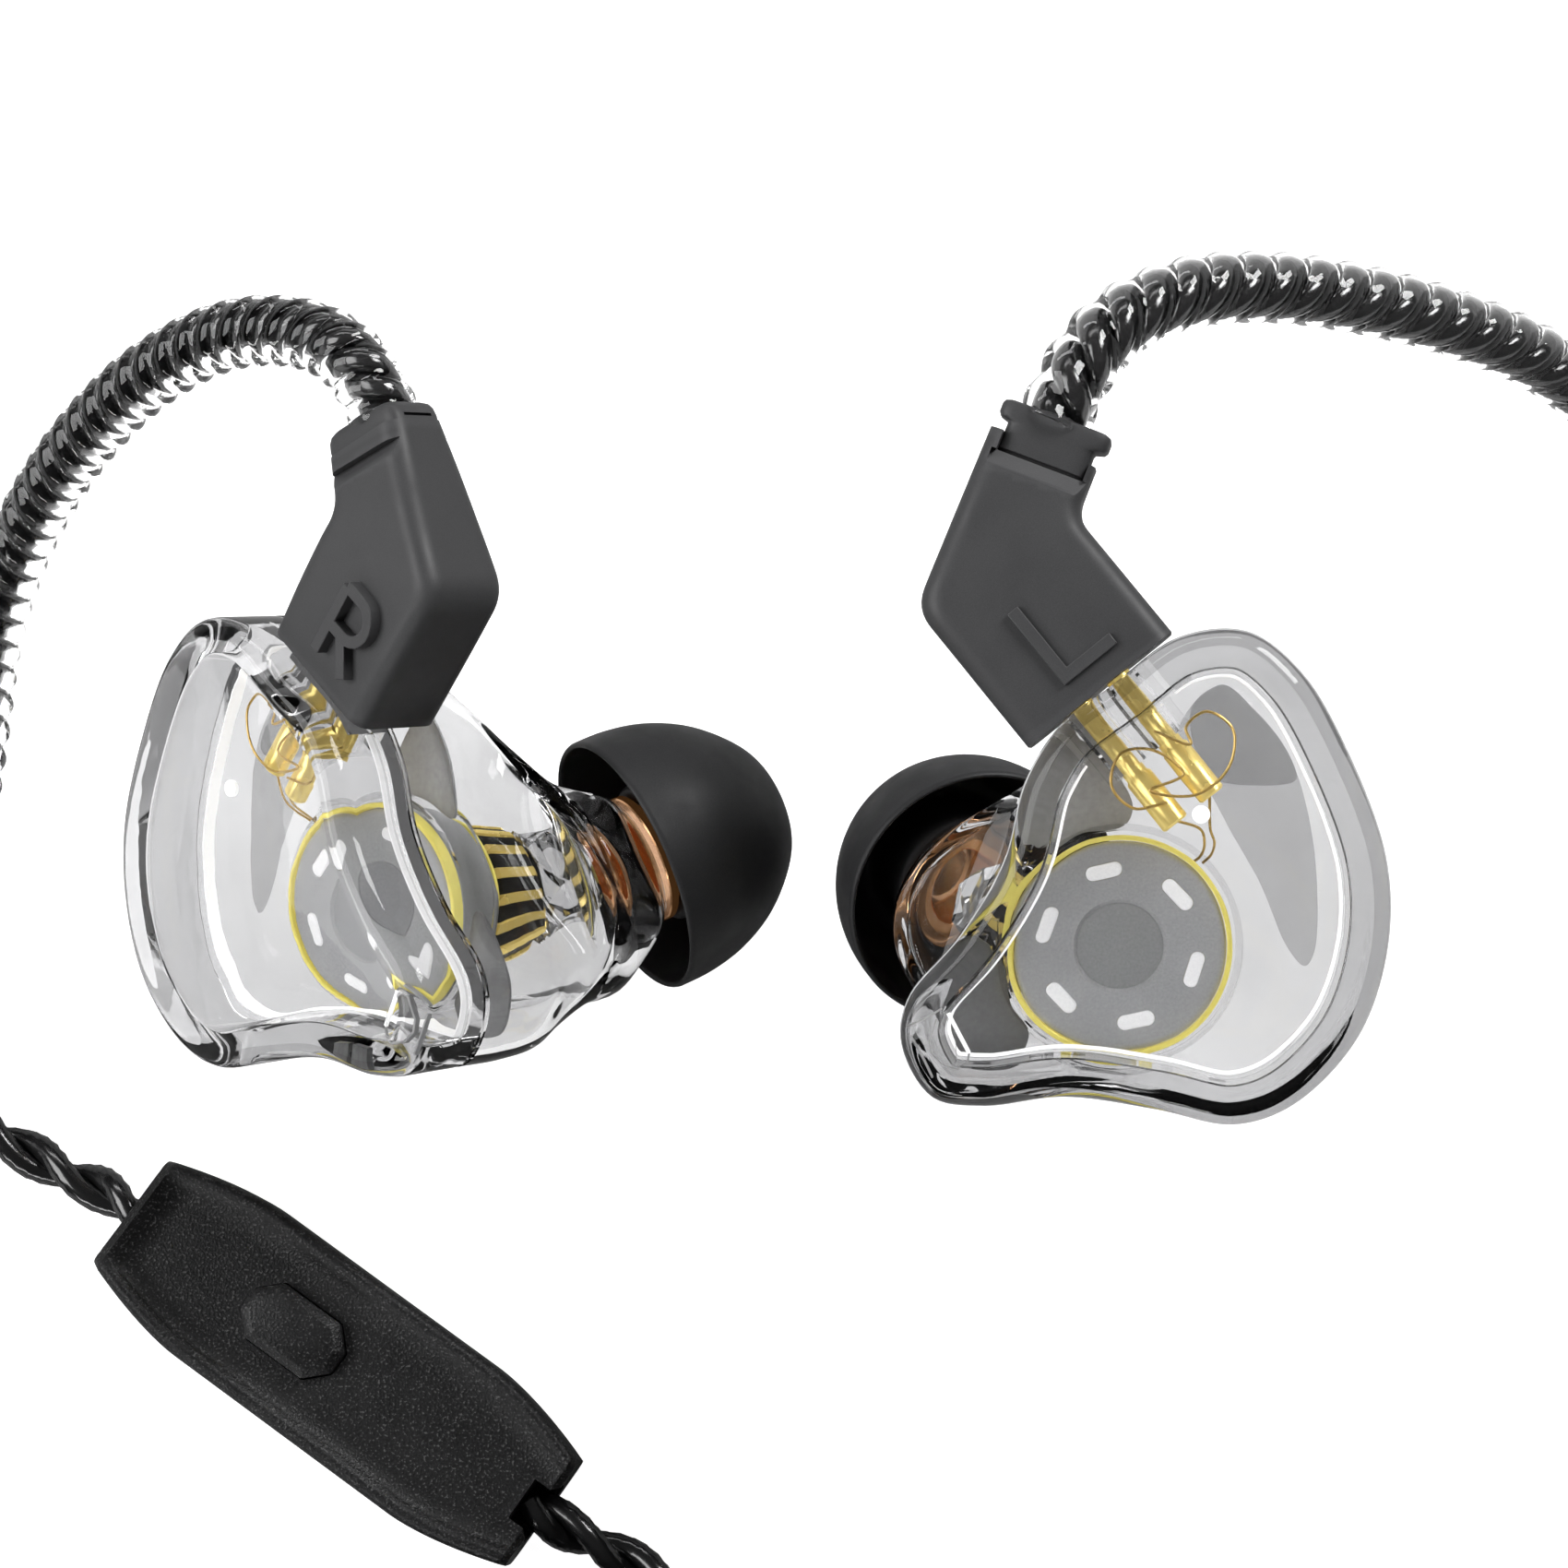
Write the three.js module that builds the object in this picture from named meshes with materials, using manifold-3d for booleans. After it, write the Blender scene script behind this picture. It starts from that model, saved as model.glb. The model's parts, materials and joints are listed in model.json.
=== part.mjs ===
// A pair of clear-shelled in-ear monitors on their detachable cable, laid out on a table.
// Millimetres, +Z up. The cable lies on z = 0, and the origin is under the middle of the
// two earpieces with their ear hooks.
//
// Each earpiece is modelled once, as the left one, in its own frame: the origin is the centre
// of the driver's back plate, +z points out of the ear, +y up towards the connector. The right
// one is its mirror image.
import * as THREE from 'three';
import { mergeVertices } from 'three/addons/utils/BufferGeometryUtils.js';
import Module from 'manifold-3d';

const wasm = await Module();
wasm.setup();

// ---------------------------------------------------------------- driving dimensions

const GAP = 0.3; // clearance between neighbouring parts

// Where the two earpieces lie, before the whole is centred on the origin
const CENTRING = new THREE.Vector3(-1.6, 0.1, 0);
const LEFT_PLACE = { at: [15.8, -13.0, 23.7], turn: [12.4, -6.7, 2.5] };
const RIGHT_PLACE = { at: [-20.5, -9.7, 14.6], turn: [16.3, -40.2, -2.0] };

// Shell
const SHELL_OUTLINE = [
  [3.5, 14.4], [6.6, 14.5], [8.9, 12.6], [11.0, 8.5], [12.4, 3.7], [12.2, -0.4], [10.7, -4.2],
  [7.7, -7.1], [5.0, -7.9], [1.5, -7.1], [-2.6, -6.4], [-6.4, -6.7], [-8.7, -6.2], [-10.0, -3.7],
  [-9.6, -1.6], [-7.0, 1.3], [-4.9, 4.6], [-3.8, 8.1], [-2.1, 10.6], [0.3, 12.3],
];
const OUTLINE_STEPS = 36;
const SHELL_MIDDLE = [1.0, 3.0];
const FACE_Z = 6.65; // outer face of the faceplate
const PARTING_Z = 2.0;
const FACE_EDGE_RADIUS = 1.1;
const SHELL_WALL = 0.8;
const FACE_SOFTENING = 0.3; // how far the corners inside and outside the face are eased

// Nozzle and ear tip: a common axis, with distances along it counted from the tip's rim
const NOZZLE_AXIS = new THREE.Vector3(-0.37, 0.36, -0.86).normalize();
const RIM_CENTRE = new THREE.Vector3(-7.1, 2.2, -10.4);
const NOZZLE_RADIUS = 2.55;
const NOZZLE_BORE = 2.0;
const NOZZLE_FLANGE_RADIUS = 3.4;
const SEAT_AT = 0.6; // where the cavity shell ends and the nozzle's flange sits
const TIP_RIM_RADIUS = 6.9;
const TIP_STEM_RADIUS = 3.7;
const TIP_LENGTH = 8.7;

// Driver
const CAN_RADIUS = 5.0;
const CAN_DEPTH = 3.0;
const RING_OUTER = 5.55;
const SLOT_RADIUS = 3.74;
const SLOT_FIRST_ANGLE = 40;
const SLOTS = 6;

// Connector: the pins run along PIN_AXIS, out of the shell
const PIN_AXIS = new THREE.Vector3(-0.593, 0.805, 0).normalize();
const PIN_ACROSS = new THREE.Vector3(0.805, 0.593, 0).normalize();
const PIN_MIDDLE = new THREE.Vector3(-0.2, 12.0, 2.1); // between the pins, on the shell's surface
const PIN_SPACING = 2.18;
const PIN_RADIUS = 0.39;
const PIN_REACH = 4.8;
const SOCKET_RADIUS = 0.8;
const SOCKET_DEPTH = 6.8;
const SOCKET_BLOCK = [4.78, 2.6, 3.2]; // across the pins, through the shell, along the pins
const HOOD_OUTLINE = [
  [-3.9, 10.0], [2.6, 14.8], [-0.8, 19.9], [-1.0, 20.9], [-0.5, 22.6], [-5.1, 24.3], [-8.0, 17.7],
  [-8.3, 16.6], [-7.9, 15.4],
];
const COLLAR_OUTLINE = [
  [-4.5, 24.4], [-0.6, 22.95], [-0.3, 23.0], [0.2, 23.3], [0.3, 23.7], [-0.1, 24.2],
  [-4.2, 25.8], [-4.6, 25.5],
];
const HOOD_THICKNESS = 5.5;
const HOOD_EDGE = 0.5;
const COLLAR_THICKNESS = 3.5;
const NECK_FROM = 16.5; // above this the hood grows thinner towards the cable
const NECK_THINNING = 0.045; // share of the thickness lost per millimetre

// Cable
const CORD_RADIUS = 1.25;
const SLEEVE_RADIUS = 1.6;

// Storage coil of the main cable, wound clockwise seen from above
const COIL_CENTRE = [-15, -72];
const COIL_BASE = 0.8; // the tie's strap passes under the turns
const COIL_ROW = 2.65;
const COIL_INNER = 10.4;
const COIL_OUTER = 21.2;
const BRANCH_TURN_RADIUS = 28.0;
const SPLITTER_RADIUS = 23.75; // from the coil's centre, in the gap outside the main turns
const SPLITTER_ANGLE = 45;
const SPLITTER_LENGTH = 12.6;
const SPLITTER_WIDTH = 4.4;
const TIE_WIDTH = 5.0;
const TIE_THICKNESS = 0.5;

// Remote: its length runs along its own x axis
const REMOTE_AT = [-23.3, -31.6];
const REMOTE_TURN = -35.3;
const REMOTE_LENGTH = 26.7;
const REMOTE_WIDTH = 9.2;
const REMOTE_END_WIDTH = 6.0;
const REMOTE_HEIGHT = 5.6;
const REMOTE_WALL = 1.0;
const REMOTE_FLOOR = 0.8; // top of the bottom housing's floor
const REMOTE_SPLIT = 2.4;
const REMOTE_CEILING = 4.3; // underside of the top housing's cover
const BUTTON_AT = 2.6; // from the middle of the remote towards its upper end
const BUTTON_LENGTH = 5.8;
const BUTTON_WIDTH = 3.4;
const BUTTON_PROUD = 0.7;
const BUTTON_FOOT = 3.35; // underside of the button
const BOARD_TOP = 1.9;
const BOARD_THICKNESS = 0.7;

// Plug, 3.5 mm with four contacts, pointing away from the cable
const PLUG_AT = [27.5, -88.0, 3.1];
const PLUG_BODY_LENGTH = 15.0;
const PLUG_BODY_RADIUS = 3.0;
const PLUG_RELIEF_LENGTH = 8.0;
const JACK_RADIUS = 1.75;
const JACK_LENGTH = 14.0;

// ---------------------------------------------------------------- materials

const plain = (color, roughness, metalness = 0) =>
  new THREE.MeshStandardMaterial({ color, roughness, metalness });

const smokyClear = new THREE.MeshStandardMaterial({
  color: 0xb4b6b8, roughness: 0.08, metalness: 0, transparent: true, opacity: 0.4,
});
const clearSleeve = new THREE.MeshStandardMaterial({
  color: 0xe8eaec, roughness: 0.15, metalness: 0, transparent: true, opacity: 0.5,
});
const blackSilicone = plain(0x151515, 0.6);
const blackPlastic = plain(0x2a2a2a, 0.55);
const hoodPlastic = plain(0x3c3c3d, 0.6);
const greyPlastic = plain(0x77797b, 0.5);
const gold = plain(0xe8c34a, 0.25, 1);
const copper = plain(0xc98556, 0.25, 1);
const steel = plain(0xb8bcc0, 0.3, 1);
const film = plain(0xcfc8a8, 0.4);
const greenBoard = plain(0x1e5a34, 0.5);
const cordJacket = plain(0x121212, 0.35);

// ---------------------------------------------------------------- shape helpers

/** Leaves only positions and faces, with shared vertices merged and every face pointing out. */
function closedBody(source) {
  let body = source.index ? source.clone() : mergeVertices(source.clone());
  for (const name of Object.keys(body.attributes)) {
    if (name !== 'position') body.deleteAttribute(name);
  }
  body.clearGroups();
  body = mergeVertices(body, 1e-4);
  const keep = [];
  const index = body.index.array;
  for (let i = 0; i < index.length; i += 3) {
    const [a, b, c] = [index[i], index[i + 1], index[i + 2]];
    if (a !== b && b !== c && a !== c) keep.push(a, b, c);
  }
  body.setIndex(keep);
  if (signedVolume(body) < 0) flipFaces(body);
  return body;
}

function signedVolume(body) {
  const position = body.attributes.position;
  const [a, b, c] = [new THREE.Vector3(), new THREE.Vector3(), new THREE.Vector3()];
  let total = 0;
  for (let i = 0; i < body.index.count; i += 3) {
    a.fromBufferAttribute(position, body.index.getX(i));
    b.fromBufferAttribute(position, body.index.getX(i + 1));
    c.fromBufferAttribute(position, body.index.getX(i + 2));
    total += a.dot(b.cross(c)) / 6;
  }
  return total;
}

function flipFaces(body) {
  const index = body.index.array;
  for (let i = 0; i < index.length; i += 3) {
    [index[i + 1], index[i + 2]] = [index[i + 2], index[i + 1]];
  }
}

/** Joins rings of equal length into one closed body: capped at both ends, or ring to ring. */
function loft(rings, joinEnds = false) {
  const count = rings[0].length;
  const points = rings.flat();
  const faces = [];
  const strips = joinEnds ? rings.length : rings.length - 1;
  for (let r = 0; r < strips; r++) {
    const here = r * count;
    const next = ((r + 1) % rings.length) * count;
    for (let i = 0; i < count; i++) {
      const j = (i + 1) % count;
      faces.push(here + i, here + j, next + j, here + i, next + j, next + i);
    }
  }
  if (!joinEnds) {
    for (const [ring, flip] of [[0, true], [rings.length - 1, false]]) {
      const centre = rings[ring].reduce((s, p) => s.add(p), new THREE.Vector3());
      points.push(centre.divideScalar(count));
      for (let i = 0; i < count; i++) {
        const edge = [ring * count + i, ring * count + ((i + 1) % count)];
        if (flip) edge.reverse();
        faces.push(...edge, points.length - 1);
      }
    }
  }
  const body = new THREE.BufferGeometry().setFromPoints(points);
  body.setIndex(faces);
  return closedBody(body);
}

/** A body of revolution about +z from [radius, z] pairs. */
function turned(profile, segments = 24) {
  const lathe = new THREE.LatheGeometry(profile.map(([r, z]) => new THREE.Vector2(r, z)), segments);
  return closedBody(lathe.rotateX(Math.PI / 2));
}

/** A washer or tube: inner and outer radius between two heights. */
function sleeve(inner, outer, low, high, segments = 24) {
  const profile = [[inner, low], [outer, low], [outer, high], [inner, high], [inner, low]];
  return turned(profile, segments);
}

function disc(radius, low, high, segments = 24) {
  return turned([[0, low], [radius, low], [radius, high], [0, high]], segments);
}

/** An outline in x and y, made solid between two heights, with bevelled edges if asked. */
function slab(outline, low, high, bevel = 0) {
  const shape = new THREE.Shape(outline.map(([x, y]) => new THREE.Vector2(x, y)));
  const solid = new THREE.ExtrudeGeometry(shape, {
    depth: high - low - 2 * bevel,
    bevelEnabled: bevel > 0,
    bevelThickness: bevel,
    bevelSize: bevel,
    bevelOffset: -bevel,
    bevelSegments: 1,
  });
  return closedBody(solid.translate(0, 0, low + bevel));
}

function block(size, centre) {
  return closedBody(new THREE.BoxGeometry(...size).translate(...centre));
}

/** A cord's solid: a polygon section swept along a smooth curve through the points. */
function tube(points, radius, steps, sides = 8) {
  const section = new THREE.Shape();
  for (let i = 0; i < sides; i++) {
    const angle = (2 * Math.PI * (i + 0.5)) / sides;
    const corner = [radius * Math.cos(angle), radius * Math.sin(angle)];
    if (i === 0) section.moveTo(...corner);
    else section.lineTo(...corner);
  }
  const path = new THREE.CatmullRomCurve3(points.map((p) => new THREE.Vector3(...p)), false, 'centripetal');
  return closedBody(new THREE.ExtrudeGeometry(section, { extrudePath: path, steps, curveSegments: 1 }));
}

/** Turns a body made about +z so that +z points along an axis from a point. */
function along(body, origin, axis) {
  const turn = new THREE.Quaternion().setFromUnitVectors(new THREE.Vector3(0, 0, 1), axis);
  return body.applyQuaternion(turn).translate(origin.x, origin.y, origin.z);
}

function toSolid(body) {
  const mesh = new wasm.Mesh({
    numProp: 3,
    vertProperties: new Float32Array(body.attributes.position.array),
    triVerts: new Uint32Array(body.index.array),
  });
  return new wasm.Manifold(mesh);
}

function fromSolid(solid) {
  const mesh = solid.getMesh();
  const result = new THREE.BufferGeometry();
  result.setAttribute('position', new THREE.Float32BufferAttribute(mesh.vertProperties, mesh.numProp));
  result.setIndex([...mesh.triVerts]);
  return closedBody(result);
}

function cut(body, ...tools) {
  return fromSolid(tools.reduce((solid, tool) => solid.subtract(toSolid(tool)), toSolid(body)));
}

function join(a, b) {
  return fromSolid(toSolid(a).add(toSolid(b)));
}

function mirrored(body) {
  const copy = body.clone().scale(-1, 1, 1);
  flipFaces(copy);
  return copy;
}

// ---------------------------------------------------------------- earpiece shell

const outlineCurve = new THREE.CatmullRomCurve3(
  SHELL_OUTLINE.map(([x, y]) => new THREE.Vector3(x, y, 0)), true, 'centripetal');
const outlinePoints = outlineCurve.getSpacedPoints(OUTLINE_STEPS).slice(0, OUTLINE_STEPS);

/** The shell's outline moved inwards, at a height. */
function shellRing(z, inset) {
  return outlinePoints.map((point, i) => {
    const before = outlinePoints[(i + OUTLINE_STEPS - 1) % OUTLINE_STEPS];
    const after = outlinePoints[(i + 1) % OUTLINE_STEPS];
    const run = after.clone().sub(before).normalize();
    // the outline runs clockwise, so the inside is on its right
    return new THREE.Vector3(point.x + run.y * inset, point.y - run.x * inset, z);
  });
}

/** A circle about the nozzle's axis whose points match the outline's by angle. */
function nozzleRing(centre, radius, axis = NOZZLE_AXIS) {
  const lean = new THREE.Quaternion().setFromUnitVectors(new THREE.Vector3(0, 0, -1), axis);
  return outlinePoints.map((point) => {
    const angle = Math.atan2(point.y - SHELL_MIDDLE[1], point.x - SHELL_MIDDLE[0]);
    const spoke = new THREE.Vector3(Math.cos(angle), Math.sin(angle), 0).multiplyScalar(radius);
    return spoke.applyQuaternion(lean).add(centre);
  });
}

function between(ringA, ringB, share) {
  return ringA.map((point, i) => point.clone().lerp(ringB[i], share));
}

const onNozzle = (distance) => RIM_CENTRE.clone().addScaledVector(NOZZLE_AXIS, distance);

/** The cavity shell's rings from the parting plane to the nozzle seat, moved in by a wall. */
function cavityRings(wall) {
  const base = (z, inset) => shellRing(z, inset + wall);
  const round = (x, y, z, radius, lean) => {
    const axis = new THREE.Vector3(0, 0, -1).lerp(NOZZLE_AXIS, lean).normalize();
    return nozzleRing(new THREE.Vector3(x, y, z), radius - wall, axis);
  };
  return [
    base(PARTING_Z - GAP / 2, 0),
    base(-0.6, 0),
    base(-2.9, 0.25),
    between(base(-4.7, 0.8), round(-2.2, 1.2, -5.2, 7.8, 0.3), 0.2),
    between(base(-6.6, 1.6), round(-3.7, 1.0, -6.9, 6.9, 0.6), 0.6),
    round(-5.5, 1.2, -8.3 + wall, 5.9, 0.85),
    nozzleRing(onNozzle(-1.2), 4.8 - wall),
    nozzleRing(onNozzle(0.1), 3.95 - wall / 2),
    nozzleRing(onNozzle(SEAT_AT), 3.4 - wall),
  ];
}

function cavityShell() {
  return loft([...cavityRings(0), ...cavityRings(SHELL_WALL).reverse()], true);
}

function faceplate() {
  const edge = FACE_EDGE_RADIUS;
  const low = PARTING_Z + GAP / 2;
  const inside = FACE_Z - SHELL_WALL;
  return loft([
    shellRing(inside, SHELL_WALL + 2 * edge),
    shellRing(inside - FACE_SOFTENING, SHELL_WALL + edge - FACE_SOFTENING),
    shellRing(inside - edge, SHELL_WALL),
    shellRing(low, SHELL_WALL),
    shellRing(low, 0),
    shellRing(FACE_Z - edge, 0),
    shellRing(FACE_Z - FACE_SOFTENING, FACE_SOFTENING),
    shellRing(FACE_Z, edge),
    shellRing(FACE_Z, 2 * edge),
  ]);
}

/** The slot that both shells leave for the socket block. */
function socketWindow() {
  const [width, height, depth] = SOCKET_BLOCK;
  return onPins(block([width + 2 * GAP, depth + 4.9, height + 2 * GAP], [0, -2.6, 0]));
}

/** Moves a body from the connector's frame, with the pins along +y, into the earpiece's. */
function onPins(body) {
  const basis = new THREE.Matrix4().makeBasis(PIN_ACROSS, PIN_AXIS, new THREE.Vector3(0, 0, 1));
  return body.applyMatrix4(basis.setPosition(PIN_MIDDLE));
}

// ---------------------------------------------------------------- nozzle and ear tip

function nozzle() {
  const flange = SEAT_AT + GAP;
  const end = 5.2;
  return along(turned([
    [NOZZLE_BORE, flange], [NOZZLE_FLANGE_RADIUS, flange], [NOZZLE_FLANGE_RADIUS, flange + 0.5],
    [NOZZLE_RADIUS, flange + 0.5], [NOZZLE_RADIUS, end - 0.5], [NOZZLE_RADIUS + 0.15, end - 0.3],
    [NOZZLE_RADIUS + 0.05, end], [NOZZLE_BORE, end], [NOZZLE_BORE, flange],
  ]), RIM_CENTRE, NOZZLE_AXIS);
}

function nozzleMesh() {
  return along(disc(NOZZLE_BORE - 0.2, 4.3, 4.5), RIM_CENTRE, NOZZLE_AXIS);
}

/** A mushroom: a thin domed skirt, open towards the shell, on a stem that grips the nozzle. */
function earTip() {
  const bore = NOZZLE_RADIUS + 0.35;
  const mouth = 1.9;
  const stemEnd = 1.75;
  return along(turned([
    [TIP_RIM_RADIUS - 0.2, 0], [TIP_RIM_RADIUS, 0.4], [TIP_RIM_RADIUS - 0.05, 2.0], [6.5, 3.8],
    [5.7, 5.7], [4.6, 7.2], [3.4, 8.3], [2.6, TIP_LENGTH], [mouth, TIP_LENGTH - 0.3],
    [mouth, 5.9], [bore, 5.6], [bore, stemEnd], [TIP_STEM_RADIUS, stemEnd],
    [TIP_STEM_RADIUS - 0.1, 5.6], [4.6, 5.8], [5.6, 4.2], [6.2, 2.4], [6.45, 0.7],
    [TIP_RIM_RADIUS - 0.2, 0],
  ], 24), RIM_CENTRE, NOZZLE_AXIS);
}

// ---------------------------------------------------------------- driver

/** A cup whose bottom is the back plate, with six vent slots and a shallow centre dish. */
function driverCan() {
  const plate = 0.6;
  const wall = 0.4;
  const cup = turned([
    [0, -plate], [0, -0.15], [2.1, -0.15], [2.25, 0], [CAN_RADIUS - 0.3, 0], [CAN_RADIUS, -0.3],
    [CAN_RADIUS, -CAN_DEPTH], [CAN_RADIUS - wall, -CAN_DEPTH], [CAN_RADIUS - wall, -plate],
    [0, -plate],
  ], 32);
  const slots = [];
  for (let i = 0; i < SLOTS; i++) {
    const angle = THREE.MathUtils.degToRad(SLOT_FIRST_ANGLE + (360 / SLOTS) * i);
    const slot = slab([[-0.3, -0.85], [0.3, -0.85], [0.33, 0], [0.3, 0.85], [-0.3, 0.85]], -1, 1);
    slot.translate(SLOT_RADIUS, 0, 0).rotateZ(angle);
    slots.push(slot);
  }
  return cut(cup, ...slots);
}

const driverRing = () => sleeve(CAN_RADIUS + 0.2, RING_OUTER, -0.6, 0.1, 32);
const magnet = () => disc(2.5, -2.2, -0.9);
const voiceCoil = () => sleeve(2.8, 3.05, -2.5, -1.3, 20);

/** A thin domed film with a rolled surround. */
function diaphragm() {
  return turned([
    [0, -2.9], [2.6, -2.85], [3.1, -2.85], [3.7, -2.7], [4.3, -2.85],
    [4.3, -2.95], [3.7, -2.82], [3.1, -2.95], [2.6, -2.95], [0, -3.0],
  ], 20);
}

// ---------------------------------------------------------------- sockets

const pinPlaces = [-PIN_SPACING / 2, PIN_SPACING / 2];

/** A gold barrel with a bore for the pin, open towards the connector. */
function socket(x) {
  const bore = PIN_RADIUS + 0.17;
  const barrel = turned([
    [0, -SOCKET_DEPTH], [SOCKET_RADIUS, -SOCKET_DEPTH], [SOCKET_RADIUS, -3.9],
    [SOCKET_RADIUS - 0.12, -3.7], [SOCKET_RADIUS - 0.12, -0.3], [bore, -0.3],
    [bore, -PIN_REACH - 0.4], [0, -PIN_REACH - 0.4],
  ], 14);
  return onPins(barrel.rotateX(-Math.PI / 2).translate(x, 0, 0));
}

function socketBlock() {
  const [width, height, depth] = SOCKET_BLOCK;
  const body = block([width, depth, height], [0, -1.9, 0]);
  const holes = pinPlaces.map((x) =>
    disc(SOCKET_RADIUS + 0.1, -5, 1, 14).rotateX(-Math.PI / 2).translate(x, 0, 0));
  return onPins(cut(body, ...holes));
}

/** The flat flexible lead from the sockets to the driver's back plate. */
function flexLead() {
  const path = new THREE.CatmullRomCurve3([
    new THREE.Vector3(3.7, 5.2, 2.1), new THREE.Vector3(3.6, 4.4, 1.7),
    new THREE.Vector3(3.3, 3.5, 0.8), new THREE.Vector3(2.9, 2.6, 0.35),
  ]);
  const section = new THREE.Shape([[-0.6, -0.07], [0.6, -0.07], [0.6, 0.07], [-0.6, 0.07]]
    .map(([x, y]) => new THREE.Vector2(y, x)));
  return closedBody(new THREE.ExtrudeGeometry(section, { extrudePath: path, steps: 6 }));
}

// ---------------------------------------------------------------- connector hood

const hoodMiddle = PIN_MIDDLE.z;

function connectorHood() {
  const half = HOOD_THICKNESS / 2;
  const body = slab(HOOD_OUTLINE, hoodMiddle - half, hoodMiddle + half, HOOD_EDGE);
  const position = body.attributes.position;
  for (let i = 0; i < position.count; i++) {
    const thinning = NECK_THINNING * Math.max(0, position.getY(i) - NECK_FROM);
    position.setZ(i, hoodMiddle + (position.getZ(i) - hoodMiddle) * (1 - thinning));
  }
  const pinHoles = pinPlaces.map((x) =>
    onPins(disc(PIN_RADIUS + 0.2, 0, 3.2, 14).rotateX(-Math.PI / 2).translate(x, 0, 0)));
  return cut(body, ...pinHoles);
}

/** The inner moulding's flanged collar, which the hood closes around. */
function strainRelief() {
  const half = COLLAR_THICKNESS / 2;
  return slab(COLLAR_OUTLINE, hoodMiddle - half, hoodMiddle + half);
}

function pin(x) {
  const body = turned([
    [0, -PIN_REACH], [PIN_RADIUS - 0.12, -PIN_REACH], [PIN_RADIUS, -PIN_REACH + 0.3],
    [PIN_RADIUS, 2.8], [0, 2.8],
  ], 12);
  return onPins(body.rotateX(-Math.PI / 2).translate(x, 0, 0));
}

// ---------------------------------------------------------------- assembly of one side

const assembly = new THREE.Group();
assembly.position.copy(CENTRING);

function addTo(parent, name, body, material) {
  const mesh = new THREE.Mesh(body, material);
  mesh.name = name;
  parent.add(mesh);
  return mesh;
}

const earpieceParts = [
  ['faceplate', cut(faceplate(), socketWindow()), smokyClear],
  ['cavity_shell', cut(cavityShell(), socketWindow()), smokyClear],
  ['nozzle', nozzle(), copper],
  ['nozzle_mesh', nozzleMesh(), steel],
  ['ear_tip', earTip(), blackSilicone],
  ['driver_can', driverCan(), greyPlastic],
  ['driver_ring', driverRing(), gold],
  ['driver_magnet', magnet(), steel],
  ['driver_voice_coil', voiceCoil(), copper],
  ['driver_diaphragm', diaphragm(), film],
  ['socket_block', socketBlock(), smokyClear],
  ['socket_a', socket(pinPlaces[0]), gold],
  ['socket_b', socket(pinPlaces[1]), gold],
  ['flex_lead', flexLead(), gold],
  ['connector_hood', connectorHood(), hoodPlastic],
  ['strain_relief', strainRelief(), hoodPlastic],
  ['pin_a', pin(pinPlaces[0]), gold],
  ['pin_b', pin(pinPlaces[1]), gold],
];

for (const [side, place] of [['left', LEFT_PLACE], ['right', RIGHT_PLACE]]) {
  const frame = new THREE.Group();
  frame.position.set(...place.at);
  frame.rotation.set(...place.turn.map(THREE.MathUtils.degToRad));
  assembly.add(frame);
  for (const [name, body, material] of earpieceParts) {
    addTo(frame, `${side}_${name}`, side === 'left' ? body : mirrored(body), material);
  }
}

// ---------------------------------------------------------------- ear hooks

// Preformed clear sleeves over the cable, from each hood down to the table
const RIGHT_HOOK = [
  [-19.9, 13.9, 25.1], [-20.6, 15.4, 25.2], [-22.2, 17.2, 24.6], [-24.8, 18.5, 23.2], [-28.2, 19.0, 21.1],
  [-32.2, 18.2, 18.0], [-36.0, 16.3, 14.3], [-39.2, 13.6, 10.6], [-41.6, 10.4, 7.3],
  [-43.3, 6.8, 4.4], [-44.2, 2.6, 2.3], [-44.8, -1.6, 1.6],
];
const LEFT_HOOK = [
  [13.1, 11.8, 31.0], [13.9, 13.4, 31.2], [15.8, 15.7, 30.6], [19.2, 17.8, 28.9], [23.8, 19.2, 26.0],
  [29.0, 19.8, 22.6], [34.6, 19.9, 18.6], [39.8, 19.4, 14.4], [43.9, 17.8, 10.4],
  [46.6, 14.8, 6.6], [47.8, 10.8, 3.6], [48.1, 6.6, 2.0], [48.0, 2.6, 1.6],
];
addTo(assembly, 'right_ear_hook', tube(RIGHT_HOOK, SLEEVE_RADIUS, 22), clearSleeve);
addTo(assembly, 'left_ear_hook', tube(LEFT_HOOK, SLEEVE_RADIUS, 24), clearSleeve);

// ---------------------------------------------------------------- remote

/** The remote's outline in its own frame, moved in by a wall. */
function remoteOutline(inset) {
  const [half, end, side] = [REMOTE_LENGTH / 2 - inset, REMOTE_END_WIDTH / 2, REMOTE_WIDTH / 2];
  const shoulder = REMOTE_LENGTH / 2 - 4.4;
  return [
    [-half, -end + 0.7 * inset], [-shoulder, -side + inset], [shoulder, -side + inset],
    [half, -end + 0.7 * inset], [half, end - 0.7 * inset], [shoulder, side - inset],
    [-shoulder, side - inset], [-half, end - 0.7 * inset],
  ];
}

function octagon(length, width, corner) {
  const [l, w] = [length / 2, width / 2];
  return [
    [-l, -w + corner], [-l + corner, -w], [l - corner, -w], [l, -w + corner],
    [l, w - corner], [l - corner, w], [-l + corner, w], [-l, w - corner],
  ];
}

function buttonOutline(grow) {
  const outline = octagon(BUTTON_LENGTH + 2 * grow, BUTTON_WIDTH + 2 * grow, 1.1);
  return outline.map(([x, y]) => [x - BUTTON_AT, y]);
}

function remoteBottom() {
  const tray = slab(remoteOutline(0), 0, REMOTE_SPLIT - GAP / 2);
  return cut(tray, slab(remoteOutline(REMOTE_WALL), REMOTE_FLOOR, REMOTE_SPLIT + 1));
}

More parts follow.
